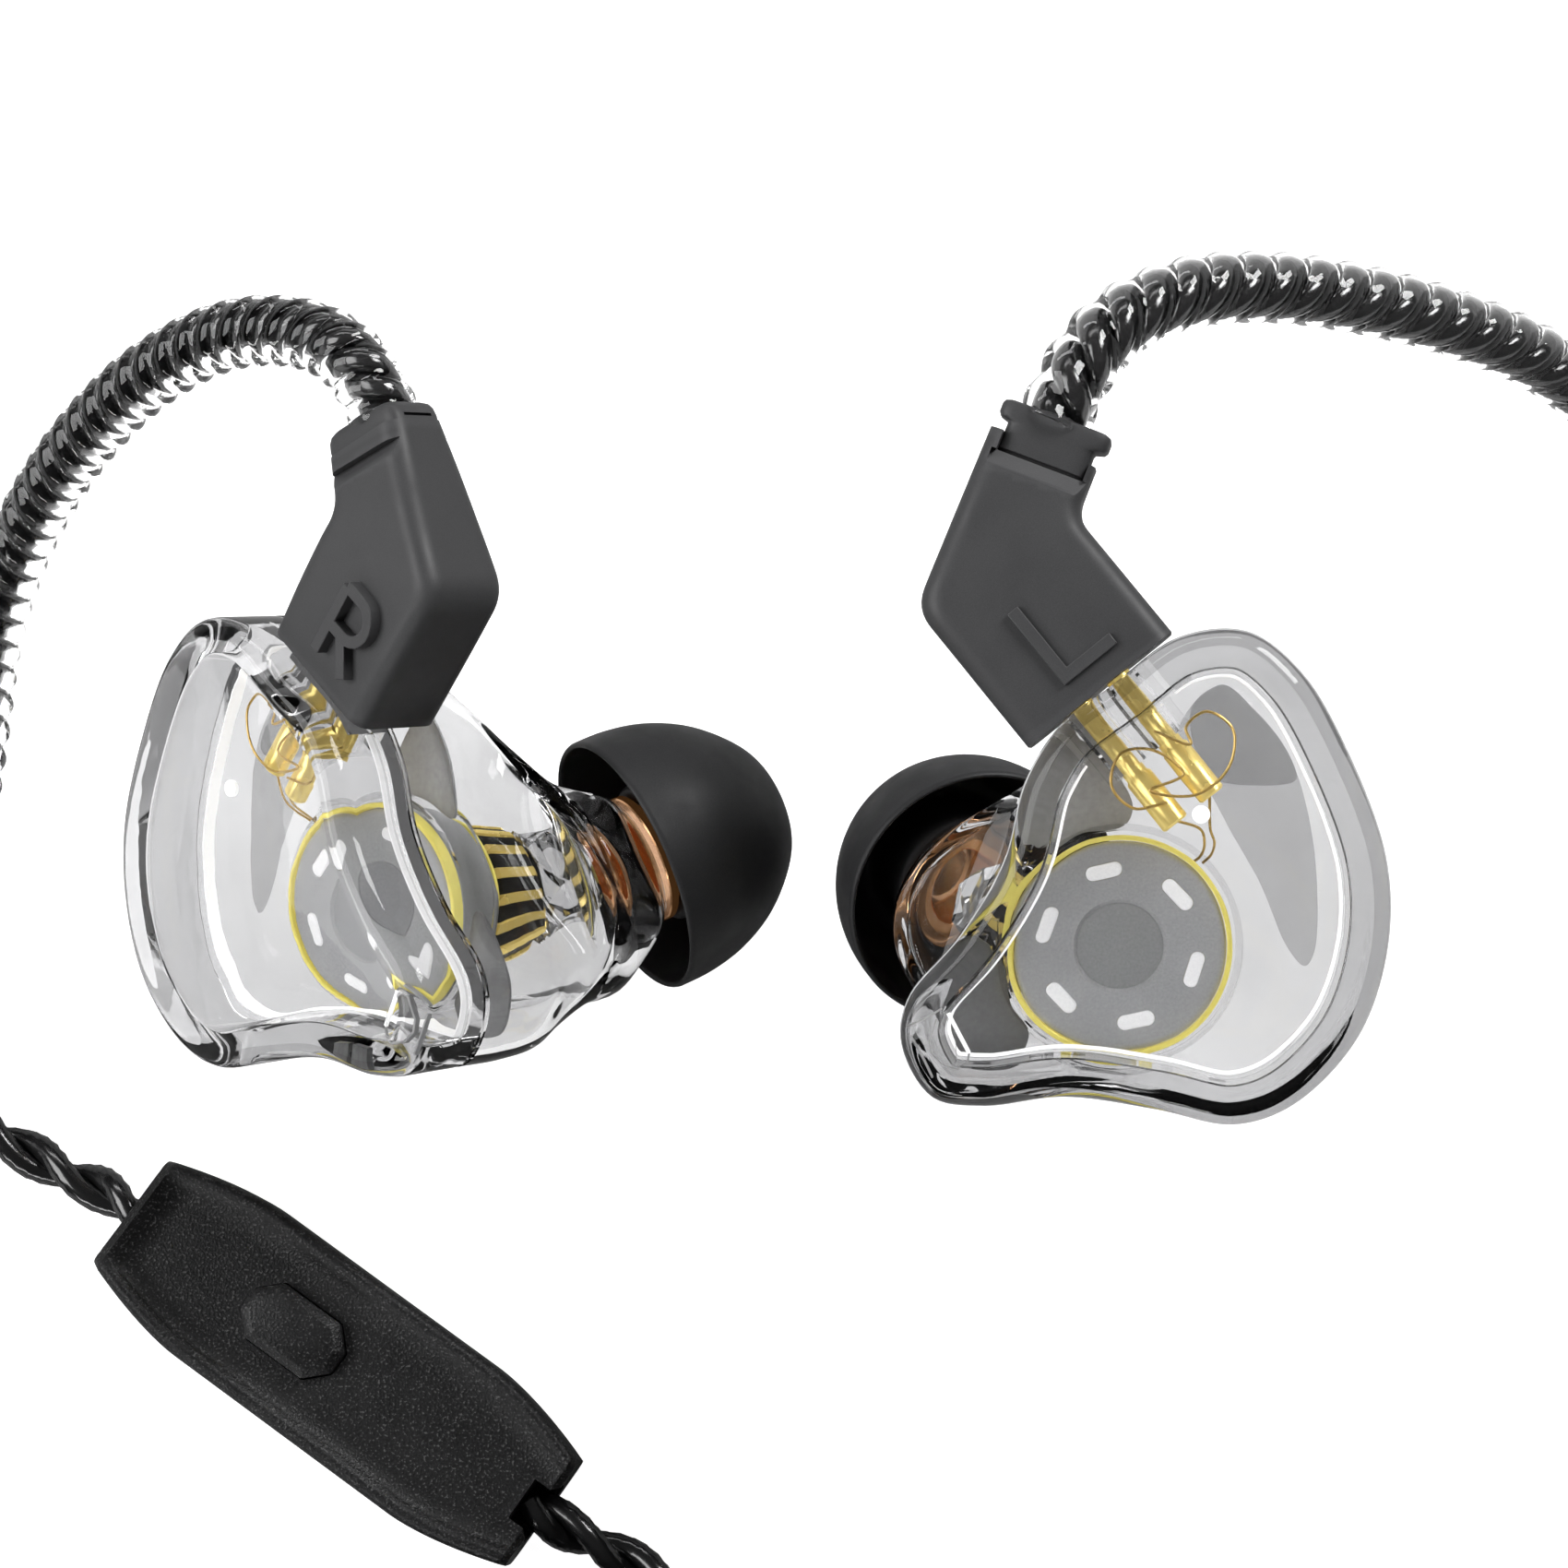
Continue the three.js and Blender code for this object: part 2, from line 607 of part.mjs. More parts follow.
function remoteTop() {
  const cover = slab(remoteOutline(0), REMOTE_SPLIT + GAP / 2, REMOTE_HEIGHT - 0.35);
  const raised = slab(remoteOutline(0.9), REMOTE_CEILING + 0.3, REMOTE_HEIGHT);
  const inside = slab(remoteOutline(REMOTE_WALL), 0, REMOTE_CEILING);
  const buttonHole = slab(buttonOutline(GAP), 0, REMOTE_HEIGHT + 1);
  return cut(join(cover, raised), inside, buttonHole);
}

/** The button's cap stands through the cover on a wider foot that holds it in. */
function playButton() {
  const cap = slab(buttonOutline(0), BUTTON_FOOT + 0.05, REMOTE_HEIGHT + BUTTON_PROUD);
  const foot = slab(buttonOutline(0.7), BUTTON_FOOT, BUTTON_FOOT + 0.4);
  return join(cap, foot);
}

const remote = new THREE.Group();
remote.position.set(...REMOTE_AT, 0);
remote.rotation.z = THREE.MathUtils.degToRad(REMOTE_TURN);
assembly.add(remote);
addTo(remote, 'remote_housing_bottom', remoteBottom(), blackPlastic);
addTo(remote, 'remote_housing_top', remoteTop(), blackPlastic);
addTo(remote, 'remote_button', playButton(), blackPlastic);
const board = slab(octagon(19, 6.2, 1.2), BOARD_TOP - BOARD_THICKNESS, BOARD_TOP);
addTo(remote, 'remote_board', board, greenBoard);
addTo(remote, 'remote_switch', block([2.6, 2.6, 0.75], [-BUTTON_AT, 0, BOARD_TOP + GAP + 0.15]), steel);
const microphone = disc(1.4, BOARD_TOP + GAP, BOARD_TOP + GAP + 1.1, 16);
addTo(remote, 'remote_microphone', microphone.translate(6.2, 0, 0), steel);

// ---------------------------------------------------------------- free cable

const radians = THREE.MathUtils.degToRad;

/** A point on the storage coil's plan, at an angle and radius from its centre. */
function onCoil(angle, radius, z) {
  const [cx, cy] = COIL_CENTRE;
  return [cx + radius * Math.cos(radians(angle)), cy + radius * Math.sin(radians(angle)), z];
}

/** Points clockwise round the coil from one angle down to another, the ends included. */
function clockwise(from, to, radius, z, step = 18) {
  const count = Math.ceil((from - to) / step);
  return Array.from({ length: count + 1 }, (_, i) =>
    onCoil(from + ((to - from) * i) / count, radius, z));
}

const LOW_ROW = COIL_BASE + CORD_RADIUS + 0.05;
const HIGH_ROW = LOW_ROW + COIL_ROW;

/** A point on the splitter's axis, beyond the end that faces back (-1) or onwards (1). */
function splitterEnd(side, out, z) {
  const [x, y] = onCoil(SPLITTER_ANGLE, SPLITTER_RADIUS, z);
  const reach = side * (SPLITTER_LENGTH / 2 + out);
  const turn = radians(SPLITTER_ANGLE - 90);
  return [x + reach * Math.cos(turn), y + reach * Math.sin(turn), z];
}

const remoteEnd = (side, out) => {
  const reach = side * (REMOTE_LENGTH / 2 + out);
  const turn = radians(REMOTE_TURN);
  return [REMOTE_AT[0] + reach * Math.cos(turn), REMOTE_AT[1] + reach * Math.sin(turn)];
};

// From the right hook's end, out and round to the remote's upper end
const RIGHT_UPPER = [
  [-44.9, -2.3, 1.6], [-45.6, -5.0, 1.4], [-47.3, -8.0, 1.25], [-48.8, -11.4, 1.25],
  [-48.4, -14.8, 1.25], [-45.6, -17.4, 1.25], [-42.1, -19.6, 1.25], [-39.0, -21.3, 1.5],
  [...remoteEnd(-1, 1.6), 2.6], [...remoteEnd(-1, GAP), 2.9],
];
// From the remote's lower end, once round the outside of the coil, in to the splitter
const RIGHT_LOWER = [
  [...remoteEnd(1, GAP), 2.9], [...remoteEnd(1, 1.6), 2.6], [-7.6, -42.1, 1.5], [-4.0, -44.4, 1.25],
  [-0.4, -47.4, 1.4],
  ...clockwise(35, -255, BRANCH_TURN_RADIUS, LOW_ROW),
  onCoil(-270, 27.1, LOW_ROW), onCoil(-281, 26.1, LOW_ROW),
  splitterEnd(-1, 2.2, LOW_ROW), splitterEnd(-1, GAP, LOW_ROW),
];
// From the left hook's end, down beside the plug, in to the splitter above the right branch
const LEFT_BRANCH = [
  [48.0, 1.9, 1.6], [48.0, -1.2, 1.4], [48.0, -5.0, 1.25], [47.6, -12.0, 1.25], [47.2, -20.0, 1.25],
  [47.2, -29.0, 1.25], [47.4, -38.0, 1.25], [47.4, -48.0, 1.25], [46.8, -58.0, 1.25],
  [45.6, -68.0, 1.25], [43.4, -78.0, 1.25], [39.2, -87.5, 1.25], [32.6, -95.2, 1.25],
  [24.0, -100.2, 1.4], [14.0, -102.6, 2.2], [4.0, -102.9, 3.4], [-4.0, -101.8, 4.3],
  ...clockwise(-95, -255, BRANCH_TURN_RADIUS, HIGH_ROW),
  onCoil(-270, 27.1, HIGH_ROW), onCoil(-281, 26.1, HIGH_ROW),
  splitterEnd(-1, 2.2, HIGH_ROW), splitterEnd(-1, GAP, HIGH_ROW),
];
// From the splitter to the first turn of the coil
const MAIN_START = [
  splitterEnd(1, GAP, LOW_ROW), splitterEnd(1, 2, LOW_ROW), onCoil(18, 23.7, LOW_ROW),
  onCoil(8, 22.9, LOW_ROW),
];
// From the last turn of the coil, over the right branch, round to the plug
const MAIN_TAIL = [
  onCoil(14, 22.9, HIGH_ROW), onCoil(2, 23.4, HIGH_ROW), onCoil(-8, 25.0, HIGH_ROW + 0.1),
  onCoil(-15, 27.4, HIGH_ROW + 0.15), onCoil(-21, 30.6, HIGH_ROW - 0.1), [15.4, -86.6, 3.4],
  [16.8, -90.0, 2.0], [19.0, -93.2, 1.4], [22.3, -94.6, 1.3], [25.4, -93.2, 1.6],
  [27.2, -90.6, 2.5], [PLUG_AT[0], PLUG_AT[1] - GAP, PLUG_AT[2]],
];
addTo(assembly, 'right_upper_cable', tube(RIGHT_UPPER, CORD_RADIUS, 10), cordJacket);
addTo(assembly, 'right_lower_cable', tube(RIGHT_LOWER, CORD_RADIUS, 28), cordJacket);
addTo(assembly, 'left_branch_cable', tube(LEFT_BRANCH, CORD_RADIUS, 34), cordJacket);
addTo(assembly, 'main_cable_start', tube(MAIN_START, CORD_RADIUS, 3), cordJacket);
addTo(assembly, 'main_cable_tail', tube(MAIN_TAIL, CORD_RADIUS, 12), cordJacket);

const coilRing = sleeve(COIL_INNER, COIL_OUTER, COIL_BASE, COIL_BASE + 2 * COIL_ROW, 28);
addTo(assembly, 'main_cable_coil', coilRing.translate(...COIL_CENTRE, 0), cordJacket);

function cableSplitter() {
  const outline = octagon(SPLITTER_LENGTH, SPLITTER_WIDTH, 0.8);
  const body = slab(outline, COIL_BASE, COIL_BASE + 2 * COIL_ROW, 0.4);
  body.rotateZ(radians(SPLITTER_ANGLE - 90));
  return body.translate(...onCoil(SPLITTER_ANGLE, SPLITTER_RADIUS, 0));
}
addTo(assembly, 'cable_splitter', cableSplitter(), blackPlastic);

/** A strap once round the bundle of turns, across the coil's left side. */
function coilTie() {
  const reach = [COIL_INNER - 0.5, BRANCH_TURN_RADIUS + CORD_RADIUS + 0.4];
  const top = COIL_BASE + 2 * COIL_ROW + GAP;
  const corners = (out) => [
    [-reach[1] - out, TIE_THICKNESS - out], [-reach[0] + out, TIE_THICKNESS - out],
    [-reach[0] + out, top + out], [-reach[1] - out, top + out],
  ];
  const points = (out) => corners(out).map(([x, y]) => new THREE.Vector2(x, y));
  const shape = new THREE.Shape(points(TIE_THICKNESS));
  shape.holes.push(new THREE.Path(points(0).reverse()));
  const strap = new THREE.ExtrudeGeometry(shape, { depth: TIE_WIDTH, bevelEnabled: false });
  strap.rotateX(Math.PI / 2).translate(COIL_CENTRE[0], COIL_CENTRE[1] + TIE_WIDTH / 2, 0);
  return closedBody(strap);
}
addTo(assembly, 'coil_tie', coilTie(), blackPlastic);

// ---------------------------------------------------------------- plug

const plug = new THREE.Group();
plug.position.set(...PLUG_AT);
plug.rotation.x = -Math.PI / 2;
assembly.add(plug);

const bodyStart = PLUG_RELIEF_LENGTH + GAP;
const jackStart = bodyStart + PLUG_BODY_LENGTH + GAP;
const jackEnd = jackStart + JACK_LENGTH;
const CORE_RADIUS = 1.0;
const INSULATOR = 0.5; // length of each insulating collar
const CONTACTS = [['jack_sleeve', 4.4], ['jack_ring_2', 2.0], ['jack_ring_1', 2.0]];

addTo(plug, 'plug_strain_relief', turned([
  [0, 0], [1.7, 0], [2.4, PLUG_RELIEF_LENGTH], [0, PLUG_RELIEF_LENGTH],
], 16), blackPlastic);
addTo(plug, 'plug_body', turned([
  [0, bodyStart], [PLUG_BODY_RADIUS - 0.4, bodyStart], [PLUG_BODY_RADIUS, bodyStart + 0.6],
  [PLUG_BODY_RADIUS, jackStart - 1.4], [PLUG_BODY_RADIUS - 0.6, jackStart - GAP], [0, jackStart - GAP],
], 20), blackPlastic);

/** The insulating core: a rod with a collar after each tubular contact. */
function jackCore() {
  const profile = [[0, jackStart], [CORE_RADIUS, jackStart]];
  let z = jackStart;
  for (const [, length] of CONTACTS) {
    z += length + GAP;
    profile.push([CORE_RADIUS, z], [JACK_RADIUS - 0.05, z]);
    profile.push([JACK_RADIUS - 0.05, z + INSULATOR], [CORE_RADIUS, z + INSULATOR]);
    z += INSULATOR;
  }
  profile.push([CORE_RADIUS, z + 0.2], [0, z + 0.2]);
  return turned(profile, 16);
}
addTo(plug, 'jack_core', jackCore(), blackPlastic);

let contactStart = jackStart;
for (const [name, length] of CONTACTS) {
  const low = contactStart + GAP / 2;
  addTo(plug, name, sleeve(CORE_RADIUS + 0.2, JACK_RADIUS, low, low + length, 16), gold);
  contactStart += length + GAP + INSULATOR;
}
const tipStart = contactStart + GAP + 0.2;
addTo(plug, 'jack_tip', turned([
  [0, tipStart], [JACK_RADIUS, tipStart], [JACK_RADIUS - 0.35, tipStart + 1.2],
  [JACK_RADIUS, tipStart + 2.1], [JACK_RADIUS - 0.1, tipStart + 2.5], [0.3, jackEnd], [0, jackEnd],
], 16), gold);

export default assembly;
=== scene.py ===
"""A pair of clear in-ear monitors with their ear hooks, remote and cable, laid out on a pale table."""

import json
import math

import bmesh
import bpy
import numpy as np
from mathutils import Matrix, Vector


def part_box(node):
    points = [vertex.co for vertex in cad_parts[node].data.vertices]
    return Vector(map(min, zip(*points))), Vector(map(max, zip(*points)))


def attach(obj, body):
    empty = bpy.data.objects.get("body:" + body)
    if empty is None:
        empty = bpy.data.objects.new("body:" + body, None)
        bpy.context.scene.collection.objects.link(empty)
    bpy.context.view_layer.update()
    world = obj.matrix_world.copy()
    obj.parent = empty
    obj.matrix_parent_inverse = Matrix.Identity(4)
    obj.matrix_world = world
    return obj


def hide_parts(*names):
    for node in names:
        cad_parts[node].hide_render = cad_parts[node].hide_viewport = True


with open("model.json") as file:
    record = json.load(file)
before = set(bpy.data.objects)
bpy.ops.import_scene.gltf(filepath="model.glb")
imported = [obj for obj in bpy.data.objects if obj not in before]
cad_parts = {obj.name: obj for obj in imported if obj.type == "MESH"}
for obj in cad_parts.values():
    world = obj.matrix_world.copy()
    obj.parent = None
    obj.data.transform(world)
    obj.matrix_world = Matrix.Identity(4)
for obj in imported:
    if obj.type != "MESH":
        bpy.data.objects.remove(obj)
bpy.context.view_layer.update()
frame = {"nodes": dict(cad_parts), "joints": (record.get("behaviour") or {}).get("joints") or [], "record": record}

MM = 0.001  # lengths below are in millimetres and are turned into metres when a mesh is made


# ------------------------------------------------------------------ stage, camera and light

VIEW_ELEVATION = math.radians(78)
VIEW_DISTANCE = 0.180
VIEW_TARGET = Vector((-0.0016, 0.0001, 0))
VIEW_LENS = 74.7
WHITE = (1, 1, 1, 1)
HORIZON_SHADE = (0.03, 0.03, 0.031, 1)
SKY_RAMP = (0.25, 0.92)  # where the world turns from the horizon's shade to white
SKY_LIGHT = 0.12
SEEN_THROUGH_CLEAR = 0.25  # share of the white backdrop that shows through clear parts
FLOOR_REACH = 2.0
FLOOR_LEVEL = -0.00015
FLOOR_GLOW = 0.97
# Name, place, aim, size and power
SOFTBOXES = [
    ("key", (-0.36, 0.00, 0.28), (0, 0, 0), (0.32, 0.28), 2.0),
    ("fill", (0.28, 0.26, 0.32), (0, 0, 0), (0.16, 0.20), 2.4),
    ("back", (-0.10, 0.46, 0.26), (0, 0, 0.01), (0.50, 0.06), 0.7),
    ("low", (-0.20, -0.40, 0.13), (0, -0.03, 0), (0.30, 0.05), 0.6),
]


def make_camera():
    data = bpy.data.cameras.new("camera")
    data.lens = VIEW_LENS
    data.clip_start = 0.005
    camera = bpy.data.objects.new("camera", data)
    back = Vector((0, -math.cos(VIEW_ELEVATION), math.sin(VIEW_ELEVATION)))
    camera.location = VIEW_TARGET + VIEW_DISTANCE * back
    camera.rotation_euler = (math.pi / 2 - VIEW_ELEVATION, 0, 0)
    bpy.context.scene.collection.objects.link(camera)
    bpy.context.scene.camera = camera


def make_softbox(name, place, aim, size, power):
    data = bpy.data.lights.new(name, "AREA")
    data.shape = "RECTANGLE"
    data.size, data.size_y = size
    data.energy = power
    lamp = bpy.data.objects.new(name, data)
    lamp.location = place
    lamp.rotation_euler = (Vector(aim) - Vector(place)).to_track_quat("-Z", "Y").to_euler()
    bpy.context.scene.collection.objects.link(lamp)


def fill_in(tree, node, inputs):
    """Sets a node's inputs to values, or links them to the sockets given."""
    for name, value in inputs.items():
        if isinstance(value, bpy.types.NodeSocket):
            tree.links.new(value, node.inputs[name])
        else:
            node.inputs[name].default_value = value


def added(tree, kind, inputs=None, operation=None):
    node = tree.nodes.new("ShaderNode" + kind)
    if operation:
        node.operation = operation
    fill_in(tree, node, inputs or {})
    return node


def make_world():
    """Soft light from overhead that is white to the eye, and grey through clear parts so their edges show."""
    world = bpy.data.worlds.new("studio")
    world.use_nodes = True
    tree = world.node_tree
    height = added(tree, "SeparateXYZ", {0: added(tree, "TexCoord").outputs["Generated"]})
    shades = added(tree, "ValToRGB", {0: height.outputs["Z"]})
    for stop, place, colour in zip(shades.color_ramp.elements, SKY_RAMP, (HORIZON_SHADE, WHITE)):
        stop.position = place
        stop.color = colour
    light = tree.nodes["Background"]
    fill_in(tree, light, {"Strength": SKY_LIGHT, "Color": shades.outputs["Color"]})
    backdrop = added(tree, "Background", {"Color": WHITE})
    path = added(tree, "LightPath")
    seen = added(tree, "Math", {0: path.outputs["Is Transmission Ray"], 1: SEEN_THROUGH_CLEAR,
                                2: path.outputs["Is Camera Ray"]}, "MULTIPLY_ADD")
    either = added(tree, "MixShader", {"Fac": seen.outputs[0], 1: light.outputs[0], 2: backdrop.outputs[0]})
    tree.links.new(either.outputs[0], tree.nodes["World Output"].inputs["Surface"])
    bpy.context.scene.world = world


def make_floor():
    """White paper that shows white to the eye and through clear parts, and throws less light back."""
    mesh = bpy.data.meshes.new("floor")
    corners = [(-1, -1), (1, -1), (1, 1), (-1, 1)]
    points = [(x * FLOOR_REACH, y * FLOOR_REACH, FLOOR_LEVEL) for x, y in corners]
    mesh.from_pydata(points, [], [(0, 1, 2, 3)])
    material = bpy.data.materials.new("floor_paper")
    material.use_nodes = True
    tree = material.node_tree
    dim = tree.nodes["Principled BSDF"]
    fill_in(tree, dim, {"Base Color": (0.40, 0.40, 0.40, 1), "Roughness": 0.9})
    lit = added(tree, "BsdfPrincipled", {"Base Color": (0.42, 0.42, 0.42, 1), "Roughness": 0.9,
                                         "Emission Color": WHITE, "Emission Strength": FLOOR_GLOW})
    path = added(tree, "LightPath").outputs
    seen = added(tree, "Math", {0: path["Is Camera Ray"], 1: path["Is Transmission Ray"]}, "MAXIMUM")
    either = added(tree, "MixShader", {"Fac": seen.outputs[0], 1: dim.outputs[0], 2: lit.outputs[0]})
    tree.links.new(either.outputs[0], tree.nodes["Material Output"].inputs["Surface"])
    mesh.materials.append(material)
    floor = bpy.data.objects.new("floor", mesh)
    bpy.context.scene.collection.objects.link(floor)


make_camera()
make_world()
make_floor()
for softbox in SOFTBOXES:
    make_softbox(*softbox)
bpy.context.scene.view_settings.view_transform = "Standard"


# ------------------------------------------------------------------ materials

SMUDGE = 2.5  # size of the uneven patches in the gloss, in mm
FLECKS = (0.60, 0.68)  # the part of the fine noise that turns into flecks
WORN_EDGES = (0.52, 0.6)  # pointiness where wear starts and where it is full


def noise_of(tree, where, size, detail=2.0):
    """Noise between 0 and 1 whose grains are about a size in millimetres."""
    noise = added(tree, "TexNoise", {"Scale": 1 / (size * MM), "Detail": detail, "Vector": where})
    return noise.outputs["Fac"]


def ranged(tree, value, low, high, start=0.3, end=0.7):
    """The value between start and end, stretched to run from low to high."""
    limits = {"From Min": start, "From Max": end, "To Min": low, "To Max": high}
    return added(tree, "MapRange", {"Value": value, **limits}).outputs["Result"]


def mixed(tree, share, a, b):
    """Colour a turning into colour b; either may be a socket."""
    node = added(tree, "Mix")
    node.data_type = "RGBA"
    fill_in(tree, node, {"Factor": share, "A": a, "B": b})
    return node.outputs["Result"]


def scaled(colour, share):
    return (*(min(1.0, c * share) for c in colour), 1)


def surface(name, colour, roughness, grain=0.1, spread=0.25, bump=0.15, wear=0.0, fleck=0.0, sockets=None):
    """A Principled surface: fine grain in colour and relief, broad smudges in gloss, paler worn edges."""
    material = bpy.data.materials.new(name)
    material.use_nodes = True
    tree = material.node_tree
    core = tree.nodes["Principled BSDF"]
    where = added(tree, "TexCoord").outputs["Object"]
    fine = noise_of(tree, where, grain)
    broad = noise_of(tree, where, SMUDGE, detail=4.0)
    tone = mixed(tree, ranged(tree, fine, 0, 1), scaled(colour, 1 - spread), scaled(colour, 1 + spread))
    if fleck:
        tone = mixed(tree, ranged(tree, fine, 0, 1, *FLECKS), tone, (fleck, fleck, fleck, 1))
    if wear:
        worn = ranged(tree, added(tree, "NewGeometry").outputs["Pointiness"], 0, wear, *WORN_EDGES)
        tone = mixed(tree, worn, tone, scaled(colour, 3.0))
    gloss = ranged(tree, broad, roughness * 0.85, min(1, roughness * 1.2))
    fill_in(tree, core, {**(sockets or {}), "Base Color": tone, "Roughness": gloss})
    if bump:
        relief = added(tree, "Bump", {"Strength": bump, "Distance": 0.3 * grain * MM, "Height": fine})
        tree.links.new(relief.outputs["Normal"], core.inputs["Normal"])
    return material


def clear(name, colour, roughness, ior):
    """Clear moulded plastic: tinted, with faint flow waves in the surface and slightly uneven polish."""
    sockets = {"Transmission Weight": 1.0, "IOR": ior}
    return surface(name, colour, roughness, grain=3.0, spread=0.02, bump=0.03, sockets=sockets)


shell_clear = clear("shell_clear", (0.72, 0.72, 0.725), 0.02, ior=1.28)
# Darker tint for the faceplate's rim band: painted shade for the dark band a thick clear rim shows.
rim_painted_shade_clear = clear("rim_painted_shade_clear", (0.44, 0.44, 0.445), 0.02, ior=1.28)
# Clear grey sheets of painted shade behind the face.
shade_clear = clear("shade_clear", (0.64, 0.64, 0.64), 0.03, ior=1.10)
# Faint clear tint: painted shadow on the driver's seat round the ring, and the bond line's own tint on the gasket.
seat_clear = clear("seat_clear", (0.86, 0.86, 0.86), 0.03, ior=1.10)
holder_clear = clear("holder_clear", (0.94, 0.94, 0.94), 0.04, ior=1.14)
duct_clear = clear("duct_clear", (0.66, 0.66, 0.665), 0.02, ior=1.6)
sleeve_clear = clear("sleeve_clear", (0.97, 0.97, 0.97), 0.03, ior=1.36)
# White that glows (emission) though it is no lamp: painted highlight on the shells' lip and the catch's bright
# edge, painted glow on the vent dot.
white_painted_glow = surface("white_painted_glow", (0.90, 0.90, 0.90), 0.45, grain=0.3, spread=0.06, bump=0.1,
                     sockets={"Emission Color": (1, 1, 1, 1), "Emission Strength": 1.0})
# Opaque grey plates of painted shade beside the driver, a lighter one and a darker one.
shade_plate_grey = surface("shade_plate_grey", (0.50, 0.50, 0.505), 0.40, grain=0.3, spread=0.08, bump=0.1)
end_grey = surface("end_grey", (0.22, 0.22, 0.222), 0.40, grain=0.3, spread=0.08, bump=0.1)
seam_grey = surface("seam_grey", (0.50, 0.50, 0.50), 0.45, grain=0.3, spread=0.06, bump=0.1)
tip_silicone = surface("tip_silicone", (0.017, 0.017, 0.018), 0.50, grain=0.06, spread=0.2, bump=0.12,
                       sockets={"Specular IOR Level": 0.25})
hood_plastic = surface("hood_plastic", (0.041, 0.041, 0.0425), 0.50, grain=0.05, spread=0.12, wear=0.10,
                       sockets={"Specular IOR Level": 0.3})
remote_plastic = surface("remote_plastic", (0.0060, 0.0060, 0.0063), 0.42, grain=0.13, spread=0.8, bump=1.0,
                         wear=0.2, fleck=0.065, sockets={"Specular IOR Level": 0.25})
cord_jacket = surface("cord_jacket", (0.006, 0.006, 0.0063), 0.22, grain=0.8, spread=0.2, bump=0.05,
                      sockets={"Coat Weight": 0.4, "Coat Roughness": 0.08})
gold = surface("gold", (1.0, 0.74, 0.24), 0.24, grain=0.4, spread=0.05, bump=0.03, sockets={"Metallic": 0.7})
# Glows (emission) though it is no lamp: painted highlight on the gold rings seen through the shell.
ring_gold_painted_glow = surface("ring_gold_painted_glow", (1.0, 0.86, 0.20), 0.35, grain=0.3, spread=0.05, bump=0.05,
                    sockets={"Metallic": 0.2, "Emission Color": (1, 0.85, 0.2, 1), "Emission Strength": 0.3})
# Glows (emission) though it is no lamp: painted highlight on the sockets, pins and horn.
socket_gold = surface("socket_gold", (1.0, 0.78, 0.26), 0.26, grain=0.4, spread=0.05, bump=0.03,
                      sockets={"Metallic": 0.6, "Emission Color": (1, 0.72, 0.2, 1),
                               "Emission Strength": 0.25})
# Faint glow (emission): painted glint on the copper nozzle.
copper = surface("copper", (1.0, 0.54, 0.28), 0.20, grain=0.4, spread=0.06, bump=0.04,
                 sockets={"Metallic": 1.0, "Emission Color": (1, 0.42, 0.12, 1), "Emission Strength": 0.04})
steel = surface("steel", (0.62, 0.63, 0.65), 0.28, grain=0.2, spread=0.06, bump=0.05,
                sockets={"Metallic": 1.0})
can_grey = surface("can_grey", (0.52, 0.522, 0.526), 0.42, grain=0.12, spread=0.08, bump=0.08, wear=0.08)
dish_grey = surface("dish_grey", (0.40, 0.402, 0.406), 0.45, grain=0.12, spread=0.08, bump=0.08)
# Glows (emission) though it is no lamp: painted light in the driver's vent slots.
vent_white_painted_glow = surface("vent_white_painted_glow", (0.97, 0.97, 0.98), 0.20, grain=0.10, spread=0.08, bump=0.5,
                     sockets={"Emission Color": (1, 1, 1, 1), "Emission Strength": 0.4})
notch_grey = surface("notch_grey", (0.13, 0.13, 0.13), 0.3, grain=0.2, spread=0.2, bump=0.1)
film = surface("film", (0.60, 0.55, 0.36), 0.35, grain=0.5, spread=0.1, bump=0.1)
coil_copper = surface("coil_copper", (0.72, 0.34, 0.16), 0.30, grain=0.08, spread=0.2, bump=0.5,
                      sockets={"Metallic": 1.0})
board_green = surface("board_green", (0.02, 0.12, 0.05), 0.35, grain=0.6, spread=0.35, bump=0.15)
lead_enamel = surface("lead_enamel", (0.75, 0.50, 0.14), 0.30, grain=0.3, spread=0.15, bump=0.1,
                      sockets={"Metallic": 0.5})
plug_plastic = surface("plug_plastic", (0.020, 0.020, 0.021), 0.38, grain=0.07, spread=0.3, bump=0.3,
                       wear=0.15)
strap_weave = surface("strap_weave", (0.026, 0.026, 0.028), 0.85, grain=0.22, spread=0.7, bump=1.0)
insulator = surface("insulator", (0.016, 0.016, 0.016), 0.35, grain=0.1, spread=0.2, bump=0.1)


# ------------------------------------------------------------------ curves and meshes

def unit(vector):
    return np.asarray(vector, float) / np.linalg.norm(vector)


def curve_through(points, closed=False, per_span=16):
    """A centripetal Catmull-Rom curve through points of any dimension."""
    p = np.array(points, float)
    if closed:
        p = np.vstack([p[-1:], p, p[:2]])
    else:
        p = np.vstack([2 * p[:1] - p[1:2], p, 2 * p[-1:] - p[-2:-1]])
    t = np.linspace(0, 1, per_span, endpoint=False)[:, None]
    spans = []
    for a, b, c, d in zip(p, p[1:], p[2:], p[3:]):
        ab, bc, cd = (max(np.linalg.norm(q - r), 1e-9) ** 0.5 for q, r in ((a, b), (b, c), (c, d)))
        leave = (b - a) * bc / ab - (c - a) * bc / (ab + bc) + (c - b)
        arrive = (c - b) - (d - b) * bc / (bc + cd) + (d - c) * bc / cd
        spans.append((2 * t**3 - 3 * t**2 + 1) * b + (t**3 - 2 * t**2 + t) * leave
                     + (3 * t**2 - 2 * t**3) * c + (t**3 - t**2) * arrive)
    if not closed:
        spans.append(p[-2:-1])
    return np.vstack(spans)


